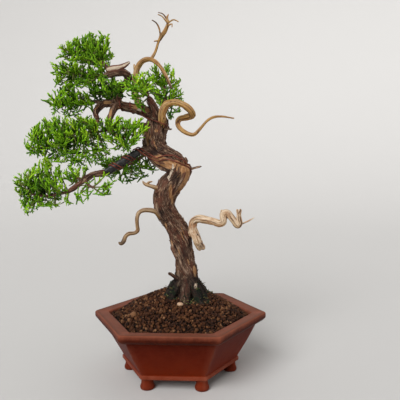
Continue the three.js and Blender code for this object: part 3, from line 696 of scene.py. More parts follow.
def buildDrainNet():
    low = pot["floor"] + drainNet["lift"]
    half = drainNet["wide"] / 2
    count = int(round(drainNet["wide"] / drainNet["pitch"]))
    ribs = []
    for direction, weave in ((0, -0.12), (1, 0.12)):
        for k, place in enumerate(np.linspace(-half + 0.6, half - 0.6, count + 1)):
            line = np.zeros((9, 4))
            line[:, direction] = np.linspace(-half + 0.05, half - 0.05, 9)
            line[:, 1 - direction] = place
            line[:, 2] = low + drainNet["thick"] / 2 + weave
            line[:, 3] = 0.68 * drainNet["edgeRib" if k in (0, count) else "rib"]
            ribs.append(tube(line, 10, roundEnds=False))
    verts, faces = joinedParts(ribs)
    verts[:, 2] = np.clip(verts[:, 2], low, low + drainNet["thick"])
    addPiece("drain_net", verts, faces, [plasticFinish()], ["drain_screen"])


# Soil: a mound of baked-clay granules, higher behind

soil = {
    "edge": 57.0,
    "corner": 71.4,
    "peak": (-1.0, 26.0, 78.0),
    "sink": 1.7,
    "pitch": 2.75,
    "size": (1.05, 2.05),
    "rough": 0.24,
    "squash": (0.72, 1.15),
    "fines": 900,
    "fineSize": (0.5, 1.0),
    "fineLift": 0.95,
    "lump": (-40.0, -31.0),
    "lumpSize": 3.7,
    "lumpTone": 0.9,
    "tone": (0.48, 0.24),
    "darkest": 0.88,
    "paleOnes": 0.012,
    # the soil bed's tone, near black: painted shade in the gaps between the granules
    "bedShadeTone": 0.03,
    "rings": 34,
    "clay": {
        0.0: (0.006, 0.003, 0.002), 0.25: (0.020, 0.0060, 0.0024), 0.55: (0.058, 0.0190, 0.0068),
        0.8: (0.118, 0.047, 0.0175), 0.97: (0.25, 0.125, 0.06),
    },
    "dusty": (0.100, 0.046, 0.022),
    "damp": (0.014, 0.006, 0.004),
}


def hexSides():
    # the outward way of each flat side
    facing = [(side + 0.5) * math.pi / 3 for side in range(6)]
    return [(math.cos(turn), math.sin(turn)) for turn in facing]


def mound(x, y):
    # the height of the soil
    flat = soil["corner"] * math.cos(math.pi / 6)
    peakX, peakY, peakZ = soil["peak"]
    total = 0
    for nx, ny in hexSides():
        share = ((x - peakX) * nx + (y - peakY) * ny) / (flat - peakX * nx - peakY * ny)
        total = total + np.maximum(share, 0) ** 8
    outward = np.minimum(total ** 0.125, 1)
    return soil["edge"] + (peakZ - soil["edge"]) * (1 - outward ** 2)


def insideHex(spots, sizes, gap):
    # the spots that lie inside the soil's outline by their own size
    reach = np.max([spots[:, 0] * nx + spots[:, 1] * ny for nx, ny in hexSides()], axis=0)
    return np.maximum(reach, 0) / math.cos(math.pi / 6) < soil["corner"] - sizes * gap


def soilFinish():
    finish = Finish("bakedClaySoil")
    fine = finish.noise(900, 4, 0.7)
    cloud = finish.noise(60, 2, 0.5)
    colour = finish.layered(finish.ramp(finish.painted("tone"), soil["clay"]), [
        (0.45 * fine.step(0.45, 0.75), soil["dusty"]),
        (0.35 * cloud.step(0.5, 0.7), soil["damp"]),
    ])
    return finish.done(colour, 0.62 + 0.3 * fine, (fine, 0.6, 0.0004), {"Specular IOR Level": 0.16})


def ballShape():
    # an eight-sided ball split once, as (18 points, 32 triangles)
    verts = [side * axis for axis in np.eye(3) for side in (1, -1)]
    rough = [(0, 2, 4), (2, 1, 4), (1, 3, 4), (3, 0, 4), (2, 0, 5), (1, 2, 5), (3, 1, 5), (0, 3, 5)]
    middles = {}
    faces = []
    for a, b, c in rough:
        for pair in ((a, b), (b, c), (c, a)):
            key = frozenset(pair)
            if key not in middles:
                spot = verts[pair[0]] + verts[pair[1]]
                middles[key] = len(verts)
                verts.append(spot / np.linalg.norm(spot))
        ab, bc, ca = (middles[frozenset(pair)] for pair in ((a, b), (b, c), (c, a)))
        faces += [(a, ab, ca), (ab, b, bc), (ca, bc, c), (ab, bc, ca)]
    return np.array(verts), np.array(faces)


def randomTurns(random, count):
    spin = random.normal(size=(count, 4))
    w, x, y, z = (spin / np.linalg.norm(spin, axis=1, keepdims=True)).T
    return np.stack((
        1 - 2 * (y * y + z * z), 2 * (x * y - z * w), 2 * (x * z + y * w),
        2 * (x * y + z * w), 1 - 2 * (x * x + z * z), 2 * (y * z - x * w),
        2 * (x * z - y * w), 2 * (y * z + x * w), 1 - 2 * (x * x + y * y),
    ), axis=1).reshape(-1, 3, 3)


def granulesAt(spots, sizes, tones, random):
    ball, faces = ballShape()
    kinds = [ball * (1 + soil["rough"] * lumps(ball + 9 * k, 0.9, 40 + k))[:, None] for k in range(9)]
    chosen = np.array(kinds)[random.integers(0, 9, len(spots))]
    squash = random.uniform(*soil["squash"], (len(spots), 1, 3))
    shaped = chosen * squash * np.asarray(sizes)[:, None, None]
    turned = np.einsum("nij,nkj->nki", randomTurns(random, len(spots)), shaped)
    verts = (turned + spots[:, None]).reshape(-1, 3)
    return verts, repeated(faces, len(ball), len(spots)), np.repeat(tones, len(ball))


def soilBed():
    # the packed soil under the granules: a closed body down to the pot's floor
    rings = soil["rings"]
    base = hexRing(1.0, 0.02, 4, 12)
    around = len(base)
    flat = [base * soil["corner"] * ring / rings for ring in range(1, rings + 1)]
    flat = np.concatenate([np.zeros((1, 2)), *flat])
    verts = np.column_stack((flat, np.zeros(len(flat))))
    verts[:, 2] = mound(verts[:, 0], verts[:, 1]) - soil["sink"] + 0.35 * lumps(verts, 3, 12)
    floor = pot["floor"]
    under = np.column_stack((base * (pot["band"] - pot["wall"] - 1.4), np.full(around, floor + 0.4)))
    verts = np.concatenate((verts, under, [[0, 0, floor + 1.8]]))
    last = 1 + rings * around
    return verts, [
        fan(1, around, 0),
        bands(rings + 1, around)[:, [0, 3, 2, 1]] + 1,
        fan(last, around, last + around)[:, [1, 0, 2]],
    ]


def buildSoil(woodLines):
    random = np.random.default_rng(21)
    material = soilFinish()
    verts, faces = soilBed()
    # the bed is painted almost black, as painted shade in the gaps between the granules
    tone = soil["bedShadeTone"] + 0.1 * lumps(verts, 2, 3)
    addPiece("soil_bed", verts, faces, [material], ["soil"], {"tone": tone})
    pitch, corner = soil["pitch"], soil["corner"]
    rowGap = pitch * 0.866
    span = int(corner / rowGap) + 1
    grid = [
        (column * pitch + row % 2 * pitch / 2, row * rowGap)
        for row in range(-span, span + 1)
        for column in range(-span - 12, span + 13)
    ]
    flat = np.array(grid) + random.uniform(-0.42, 0.42, (len(grid), 2)) * pitch
    sizes = random.uniform(*soil["size"], len(flat)) * (1 - 0.12 * random.random(len(flat)))
    keep = insideHex(flat, sizes, 1.05)
    fines = random.uniform(-corner, corner, (soil["fines"], 2))
    fineSizes = random.uniform(*soil["fineSize"], soil["fines"])
    keepFines = insideHex(fines, fineSizes, 1.1)
    flat = np.concatenate((flat[keep], fines[keepFines]))
    sizes = np.concatenate((sizes[keep], fineSizes[keepFines]))
    lift = np.where(np.arange(len(flat)) < keep.sum(), 0, soil["fineLift"])
    height = mound(flat[:, 0], flat[:, 1]) + lift + random.uniform(-0.35, 0.35, len(flat)) - 0.3
    spots = np.column_stack((flat, height))
    clear = nearestOn(spots, np.concatenate(woodLines))[1] > -0.1
    spots = np.vstack((spots[clear], (*soil["lump"], mound(*soil["lump"]) + 1.6)))
    sizes = np.append(sizes[clear], soil["lumpSize"])
    tones = np.clip(random.normal(*soil["tone"], len(spots)), 0, soil["darkest"])
    tones[random.random(len(spots)) < soil["paleOnes"]] = 1.0
    tones[-1] = soil["lumpTone"]
    verts, faces, tone = granulesAt(spots, sizes, tones, random)
    addPiece("soil_granules", verts, [faces], [material], (), {"tone": tone})


# Pebble on the soil in front of the trunk

pebble = {
    "size": (3.0, 2.3, 2.0),
    "spot": (3.9, -25.5),
    "stone": {0.3: (0.30, 0.17, 0.095), 0.55: (0.46, 0.29, 0.18), 0.75: (0.60, 0.45, 0.32)},
}


def pebbleFinish():
    finish = Finish("palePebble")
    cloud = finish.noise(380, 4, 0.6, 0.6)
    return finish.done(finish.ramp(cloud, pebble["stone"]), 0.5 + 0.2 * cloud, (cloud, 0.2, 0.0003))


def buildPebble():
    rows = 18
    sizeX, sizeY, sizeZ = pebble["size"]
    profile = [(math.sin(math.pi * k / rows), -math.cos(math.pi * k / rows)) for k in range(rows + 1)]
    verts, faces = turnedForm(profile, 28)
    verts = verts * (1 + 0.09 * lumps(verts, 0.9, 3, 2))[:, None]
    height = mound(*pebble["spot"]) + (0.9 + sizeZ * 0.9)
    verts = verts * (sizeX, sizeY, sizeZ) + (*pebble["spot"], height)
    addPiece("pebble_stone", verts, faces, [pebbleFinish()], ["pebble"])


# Wood: trunk and living branches under bark

wood = {
    "trunkLow": [
        (6, 13, 50, 8), (6, 12.5, 59, 19), (6, 12, 68, 22), (6, 11.5, 75, 19.5), (6.4, 11, 81, 16),
        (6.8, 10, 87, 12.4), (6.9, 9, 94, 10.2), (5.6, 8, 106, 9.1), (3.4, 7, 121, 9.3),
        (0, 5, 138, 9.6), (-8.2, 2, 153.6, 8.9), (-12.3, -1, 161.5, 8.9), (-13.4, -2, 169, 9.5),
        (-11.6, -3, 177, 10.2), (-7.5, -5, 185, 10.4), (-1.2, -6, 192, 9.9), (3.8, -7, 199, 9.9),
        (4.8, -7, 205, 8.6), (4.8, -7, 209, 4.5),
    ],
    "trunkHigh": [
        (8.5, -7.5, 202, 4.5), (4, -7, 204.5, 9), (-3.4, -5, 209.4, 9.9), (-14.6, -1, 216.2, 9.8),
        (-21, 2, 223, 10), (-23.5, 4, 231, 10.5), (-22.7, 5, 239, 10.1), (-20.9, 6, 247, 10),
        (-20.2, 6, 254, 8.8), (-20, 6, 260, 4),
    ],
    "leftLimb": [
        (-18, 6, 249, 6.2), (-27.8, 6, 259.5, 5.3), (-34.8, 5, 262.3, 5.1), (-43.7, 4, 265, 4.4),
        (-51.9, 4, 267.2, 4), (-59, 4, 269.2, 3.6), (-66.8, 6, 271.3, 3.2), (-75.6, 8, 271.3, 3.0),
        (-82, 8, 266.9, 2.9), (-84.1, 6, 260.5, 2.6), (-81, 4, 254.5, 2.2),
    ],
    "hangingLimb": [
        (-56, 3.5, 268.5, 3.3), (-61.7, 1, 266.9, 3.4), (-64, -3, 260.9, 3.1), (-65.6, -6, 254.5, 2.7),
        (-66.1, -8, 248.5, 2.2),
    ],
    "outerTwig": [
        (-71, 7.5, 271.4, 2.2), (-78, 9.5, 272.3, 2), (-86.2, 12, 274.3, 1.8), (-95, 14, 273.4, 1.5),
    ],
    "leader": [
        (-56, 4, 268, 3.6), (-60.3, 4, 272, 3.6), (-60.7, 3, 277.6, 3.5), (-56.2, 2, 284.3, 3.4),
        (-50, 0, 290.2, 3.4), (-47.9, -3, 295.4, 3.4), (-50.9, -6, 298.2, 3.5),
        (-57.7, -7, 298.1, 3.4), (-66, -6, 297.2, 3), (-72, -4, 296.4, 2.3),
    ],
    "topTwig": [(-66, -5.5, 297, 2.2), (-68.2, -4, 303, 1.8), (-71, -2.5, 308, 1.6)],
    "frontBranch": [
        (-19.1, 2, 252, 4.4), (-22.3, -2, 263.4, 3.8), (-24.9, -6, 269.6, 3.4), (-27, -8.5, 274, 2.5),
    ],
    "backBranch": [(-18.7, 9, 250, 3.7), (-16.6, 20, 265.2, 2.9), (-14.2, 24, 274, 2.2)],
    "firstBranch": [
        (-20, 1, 225, 4.4), (-26, -2, 222, 3.9), (-33.2, -6, 222, 2.9), (-40.7, -9, 218.2, 2.8),
        (-49.1, -12, 212.2, 2.8), (-58.6, -14, 206.4, 2.7), (-67.4, -15, 201.2, 2.8),
        (-74.1, -16, 199.5, 3.1), (-79.8, -17, 198.7, 2.7), (-86.5, -18, 195.5, 2.9),
        (-93.7, -18, 190.2, 2.3), (-100.8, -18, 184.9, 2.2), (-106.5, -18, 181.5, 1.5),
    ],
    "rearLimb": [
        (-21, 8, 238, 3.7), (-26, 18, 244.5, 3.4), (-36, 27, 250, 2.8), (-51, 36, 251, 2.3),
        (-67, 43.5, 250, 1.8),
    ],
    "elbowTwig": [
        (7, -5.5, 201.5, 1.7), (12.5, -4.5, 202.4, 1.5), (19, -4.5, 204.1, 1.1), (25, -5, 205.5, 0.6),
    ],
    "neckTwig": [(-14, 2, 242, 1.1), (-9, 1, 243, 0.9), (-4.6, 1, 243.4, 0.6)],
    "footStub": [
        (2, 4, 89.5, 1.9), (-1.9, 0.5, 92.1, 1.7), (-6.8, -1, 96.4, 1.5), (-10.7, -2, 98.8, 1.2),
    ],
    "rootLeft": [
        (3, 8, 92, 4.5), (-3, 5, 86, 4), (-8.5, 1, 79, 3.6), (-14, -4, 71, 3), (-20, -8, 60, 2.2),
    ],
    "rootRight": [
        (11, 7, 91, 4.5), (16, 4, 85, 4), (21.5, 0, 78, 3.6), (27, -5, 70, 3), (33, -8, 59, 2.2),
    ],
    "rootFront": [
        (7, 4, 91, 5.4), (8, -4, 84, 5), (8, -10, 77, 4.6), (8, -17, 69, 3.6), (8, -23, 58, 2.4),
    ],
    "rootBack": [(8, 14, 90, 6), (14, 23, 82, 5), (20, 32, 75, 4), (25, 40, 66, 3)],
    "looseRoot": [
        (12, 9, 94, 1), (18, 7, 91.5, 0.8), (23, 5, 86, 0.7), (27, 3, 78, 0.7), (29, 2, 66, 0.6),
    ],
    "smallRootLeft": [
        (4, 5, 92, 4), (0, 0, 86, 3.6), (-5, -7, 78, 3), (-10, -13, 69, 2.4), (-13, -17, 61, 2),
    ],
    "smallRootRight": [
        (10, 4, 92, 4), (14, -2, 86, 3.6), (19, -9, 78, 3), (24, -15, 69, 2.4), (27, -19, 61, 2),
    ],
    "smallRootBack": [(2, 14, 90, 5), (-5, 20, 82, 4.4), (-12, 27, 74, 3.6), (-18, 33, 65, 2.8)],
}
rootedParts = [
    "trunkLow", "rootLeft", "rootRight", "rootFront", "rootBack", "smallRootLeft", "smallRootRight",
]
bark = {
    "step": 0.8,
    "voxel": 0.72,
    "smoothing": 1,
    "cord": 1.15,
    "cordSize": (4.0, 4.0, 34),
    "fibre": 0.75,
    "fibreSize": (1.8, 1.8, 15),
    "plate": 0.9,
    "plateSize": (3.0, 3.0, 12),
    "plateSteps": 3.5,
    "knob": 1.5,
    "knobSize": (6, 6, 11),
    "twist": 0.022,
    "bareDepth": 0.7,
    "sunkDepth": 1.1,
    "flakes": 620,
    "flakeMarks": 7,
    "flakeLength": (4.5, 15.0),
    "flakeWidth": (0.5, 1.7),
    "flakeLift": (0.2, 1.7),
    "grey": {
        0.28: (0.009, 0.004, 0.003), 0.42: (0.042, 0.018, 0.011), 0.52: (0.098, 0.050, 0.031),
        0.63: (0.215, 0.130, 0.085), 0.80: (0.47, 0.35, 0.25),
    },
    "red": {0.3: (0.026, 0.008, 0.005), 0.52: (0.130, 0.042, 0.024), 0.75: (0.30, 0.14, 0.08)},
    "peeledAndHighlight": {
        0.22: (0.10, 0.036, 0.014), 0.42: (0.34, 0.150, 0.055), 0.6: (0.54, 0.300, 0.140),
        0.82: (0.68, 0.50, 0.31),
    },
    "cream": {0.3: (0.42, 0.29, 0.19), 0.6: (0.68, 0.57, 0.45), 0.8: (0.80, 0.72, 0.61)},
    "moss": {0.3: (0.003, 0.007, 0.004), 0.6: (0.008, 0.020, 0.007), 0.8: (0.030, 0.055, 0.014)},
    "fleck": (0.44, 0.29, 0.18),
    "creviceShade": (0.008, 0.004, 0.003),
    "sunk": (0.014, 0.008, 0.007),
    "foot": (0.009, 0.007, 0.006),
}

# Places on the wood as (centre, reach by axis): bark gone, one of them a painted highlight; worn pale;
# sunk and painted dark as painted shade in hollows
bareAndHighlightSpots = [
    ((-4, -15, 207.5), (14, 9, 5.2)), ((8, -13, 203), (7, 9, 6)), ((10, -9, 195), (5.6, 9, 12)),
    ((5, -9, 184), (3.5, 6, 7)), ((-20, -9, 213), (11, 8, 4.5)), ((-5, -13, 172), (1.9, 7, 16)),
    ((-12.5, -3, 143), (2.8, 7, 11)), ((-7.5, -1, 128), (1.8, 6, 9)), ((16, 1, 106), (2.2, 8, 17)),
    ((-1.5, -1, 103), (2.3, 7, 9)), ((-30, 0, 262), (4, 6, 3)), ((-42, -1, 266), (5, 6, 3)),
    # the spot at (-29, -5, 234) is a painted highlight down the trunk's left edge, laid on as bare wood
    ((-20, -5, 241), (2.2, 7, 2)), ((-29, -5, 234), (1.6, 7, 8)), ((-65, -5, 258), (2, 4, 6)),
    ((-72, 3, 272), (5, 5, 2)),
]
paleSpots = [
    ((-2.5, -16, 204), (1.4, 7, 5)), ((-4.5, -15, 198.5), (1.4, 7, 5)),
    ((-6.5, -13, 194), (1.6, 6, 3)), ((17.0, -3, 85.5), (1.5, 6, 3.6)), ((0.5, -2, 100), (1.3, 6, 3)),
    ((-37, -1, 263), (3.2, 6, 2.2)),
]
shadeSpots = [
    ((1, -15, 195), (5, 7, 5)), ((-9, -12, 197), (4, 7, 5)), ((-21, -9, 221), (7, 8, 5)),
    ((6, -4, 118), (4, 7, 12)), ((9, -2, 150), (3, 6, 8)), ((-19, -5, 250), (5, 8, 3)),
    ((-13, -4, 241), (2.5, 8, 4)), ((-27, -4, 231), (3, 8, 4)), ((-14, -5, 160), (3, 8, 3)),
    ((12, 0, 131), (2.5, 7, 8)),
]


def barkFinish():
    finish = Finish("juniperBark")
    bare = finish.painted("bare")
    fibre = finish.grained((1.3, 1.3, 0.12), 5, 0.7, 0.5)
    broad = finish.grained((0.36, 0.36, 0.05), 3, 0.6, 0.6)
    thread = finish.grained((3.6, 3.6, 0.35), 4, 0.65)
    patch = finish.grained((0.20, 0.20, 0.07), 4, 0.65)
    fleck = finish.grained((0.5, 0.5, 0.12), 4, 0.65)
    streak = finish.grained((1.1, 1.1, 0.09), 4, 0.6, 0.5)
    grit = finish.noise(1500, 2, 0.7)
    # painted shade in the bark's grooves: dark where the relief is low
    creviceShade = (0.5 - 0.5 * finish.painted("relief")).clamped()
    mixedGrain = (fibre * 0.5 + broad * 0.5 - 0.5) * 2.0 + 0.52
    colour = finish.layered(finish.ramp(mixedGrain, bark["grey"]), [
        (patch.step(0.47, 0.58) * 0.8, finish.ramp(thread, bark["red"])),
        (fleck.step(0.56, 0.63) * 0.75, bark["fleck"]),
        (creviceShade.step(0.40, 0.72) * 0.92, bark["creviceShade"]),
        # bare wood in its peeled colour, and in one spot a painted highlight
        (bare.step(0.30, 0.62), finish.ramp(streak, bark["peeledAndHighlight"])),
        # painted shade in the sunk hollows
        (finish.painted("sunk").clamped() * 0.8, bark["sunk"]),
        (finish.painted("foot") * 0.92, bark["foot"]),
        (finish.painted("mossy").step(0.35, 0.7) * 0.9, finish.ramp(grit, bark["moss"])),
        (finish.painted("pale").step(0.35, 0.6), finish.ramp(streak, bark["cream"])),
    ])
    height = fibre * 0.9 + thread * 0.6 + grit * 0.12
    rough = 0.93 - 0.28 * bare.clamped()
    return finish.done(colour, rough, (height, 0.9, 0.0016), {"Specular IOR Level": 0.3})


def spotShare(verts, grain, spots, rough, seed):
    # how much of each spot reaches a point, with an edge that runs along the grain
    share = np.zeros(len(verts))
    for centre, reach in spots:
        share = np.maximum(share, 1.3 - lengths((verts - centre) / np.asarray(reach, float)))
    edge = lumps(grain, (1.8, 1.8, 11), seed, 2)
    return np.clip(share + rough * edge * (share > 0), 0, 1)


def buildTrunk(lines):
    arounds = [40 if name.startswith("trunk") else 20 for name in lines]
    lines = list(lines.values())
    verts, quads, grain, radius, nearest = grownSkin(lines, arounds, bark)
    turn = grain[:, 2] * bark["twist"]
    twist = np.column_stack((
        grain[:, 0] * np.cos(turn) - grain[:, 1] * np.sin(turn),
        grain[:, 0] * np.sin(turn) + grain[:, 1] * np.cos(turn),
        grain[:, 2],
    ))
    size = np.clip(radius / 9, 0.25, 1.1)
    cords = ridges(twist, bark["cordSize"], 31)
    fibres = ridges(twist, bark["fibreSize"], 32)
    knobs = lumps(twist, bark["knobSize"], 33, 2)
    plateSteps = bark["plateSteps"]
    plates = np.floor(plateSteps * lumps(twist, bark["plateSize"], 34, 2)) / plateSteps
    bare = spotShare(verts, twist, bareAndHighlightSpots, 0.75, 35)
    pale = spotShare(verts, twist, paleSpots, 0.35, 37)
    # the sunk places are dented and painted dark, as painted shade in the hollows
    sunk = spotShare(verts, twist, shadeSpots, 0.5, 38) * (1 - pale)
    push = bark["cord"] * cords + bark["fibre"] * fibres + bark["knob"] * knobs
    push = size * (push + bark["plate"] * plates * (1 - bare)) * (1 - 0.6 * bare)
    push = push - bark["bareDepth"] * bare * size - bark["sunkDepth"] * sunk * size
    push = push + 0.5 * smoothstep(98, 82, verts[:, 2]) * cords
    verts = verts + normalsOf(verts, quads) * push[:, None]
    x, y, z = verts.T
    foot = smoothstep(101, 90, z + 3 * lumps(verts, (3, 3, 9), 39, 2)) * (np.abs(y) < 60)
    ridge = np.exp(-((x - 7) / 7) ** 2) * (y < 8)
    mossy = smoothstep(96, 86, z) * (0.25 - 0.5 * ridge + 1.2 * lumps(verts, 4, 36, 2))
    painted = {
        "grain": twist,
        "bare": bare,
        "relief": np.clip(cords * 0.55 + fibres * 0.45, -1, 1),
        "mossy": np.clip(mossy, 0, 1),
        "pale": pale,
        "sunk": sunk,
        "foot": foot * (1 - 0.55 * ridge) * (1 - pale),
    }
    piece = addPiece("trunk_and_branches", verts, [quads], [barkFinish()], ["trunk"], painted)
    ahead = np.concatenate([framesAlong(line)[0] for line in lines])[nearest]
    buildFlakes(piece, verts, ahead, radius, painted)
    return piece


def buildFlakes(carrier, verts, ahead, radius, painted):
    # strips of old bark that lift off along the grain
    random = np.random.default_rng(88)
    skin = surfaceOf([carrier])
    count = bark["flakes"]
    weight = np.where(radius > 2.4, 1.0, 0.15) * (painted["bare"] < 0.5) * (verts[:, 2] > 72)
    chosen = random.choice(len(verts), count, replace=False, p=weight / weight.sum())
    marks = np.linspace(0, 1, bark["flakeMarks"])
    shape = np.sin(math.pi * (0.10 + 0.86 * marks)) ** 0.7
    spots = []
    for start in chosen:
        small = min(radius[start] / 8 + 0.3, 1)
        length = random.uniform(*bark["flakeLength"]) * small
        width = random.uniform(*bark["flakeWidth"]) * small
        lift = random.uniform(*bark["flakeLift"]) * random.random() * small
        _, normal, _, _ = skin.find_nearest(Vector(verts[start]))
        aside = unit(np.cross(ahead[start], np.array(normal)))
        way = unit(ahead[start] + aside * random.normal(0.12, 0.12))
        for k, mark in enumerate(marks):
            spot, normal, _, _ = skin.find_nearest(Vector(verts[start] + way * length * (mark - 0.5)))
            out = np.array(normal)
            centre = np.array(spot) + out * (0.1 + lift * mark ** 3)
            half = unit(np.cross(way, out)) * width * shape[k] * 0.5
            above = centre + out * (0.34 + 0.1 * (k % 2))
            spots += [centre - half, above, centre + half, centre - out * 0.25]
    points = 4 * len(marks)
    ends = [(3, 2, 1, 0), range(points - 4, points)]
    faces = repeated([*bands(len(marks), 4), *ends], points, count)
    own = {key: np.repeat(values[chosen], points, axis=0) for key, values in painted.items()}
    shift = np.repeat(random.uniform(-40, 40, (count, 3)), points, axis=0)
    run = np.tile(np.repeat(marks, 4), count)[:, None] * 6
    own["grain"] = own["grain"] + shift * (0.2, 0.2, 1) + run
    own["relief"] = np.repeat(random.uniform(-0.1, 1, count), points)
    own["bare"] = np.repeat(np.where(random.random(count) < 0.10, 0.9, 0.0), points) * (1 - own["foot"])
    own["pale"] = np.zeros(len(spots))
    addPiece("bark_flakes", np.array(spots), [faces], [barkFinish()], (), own)


# Moss and small dry blades on the soil at the foot of the trunk

moss = {
    "beds": [
        ((-6, -7), (6, 6)), ((21, -9), (10, 7)), ((12, -17), (8, 3.5)), ((-4, 28), (14, 8)),
        ((24, 22), (8, 10)),
    ],
    "tufts": 3.095,
    "height": (1.0, 2.6),
    "thick": 0.55,
    "blades": 8,
    "bladeHeight": (3.5, 6.5),
    "bladeTone": 0.88,
    "bladeRise": 0.45,
    "climb": 12,
    "green": {
        0.0: (0.002, 0.005, 0.004), 0.4: (0.006, 0.018, 0.007), 0.75: (0.026, 0.060, 0.010),
        0.95: (0.20, 0.17, 0.05),
    },
    "damp": (0.008, 0.010, 0.006),
}


def mossFinish():
    finish = Finish("darkMoss")
    fine = finish.noise(1200, 3, 0.6)
    colour = finish.ramp(finish.painted("tone"), moss["green"])
    colour = finish.layered(colour, [(fine.step(0.5, 0.8) * 0.4, moss["damp"])])
    return finish.done(colour, 0.85, (fine, 0.4, 0.0003))


def buildMoss(carrier):
    random = np.random.default_rng(77)
    skin = surfaceOf([carrier])
    shoots = []
    for (x, y), (wide, deep) in moss["beds"]:
        count = int(moss["tufts"] * wide * deep)
        for k in range(count):
            share = math.sqrt(random.random())
            turn = random.uniform(0, 2 * math.pi)
            spotX = x + wide * share * math.cos(turn)
            spotY = y + deep * share * math.sin(turn)
            ground = mound(spotX, spotY) + 0.4
            hit, normal, _, _ = skin.ray_cast(Vector((spotX, spotY, 100)), Vector((0, 0, -1)))
            lean = np.array((random.normal(0, 0.5), random.normal(0, 0.5), 1.0))
            if hit is not None and hit.z > ground:
                if hit.z > ground + moss["climb"] or random.random() < 0.35:
                    continue
                ground = hit.z
                lean = lean + 1.4 * np.array(normal)
            if k % max(count // moss["blades"], 1) == 0:
                tall = random.uniform(*moss["bladeHeight"])
                tone = moss["bladeTone"]
                lean[2] = moss["bladeRise"]
            else:
                tall = random.uniform(*moss["height"])
                tone = random.uniform(0, 0.85) ** 1.6
            root = np.array((spotX, spotY, ground - 0.4))
            shoots.append((root, unit(lean), tall, -up * 0.1 * tall, moss["thick"], tone, -1))
    verts, faces, tone, along = shootMesh(shoots)
    tone = np.clip(tone + 0.15 * along, 0, 1)
    addPiece("foot_moss", verts, [faces], [mossFinish()], (), {"tone": tone})


# Deadwood: jins stripped of their bark

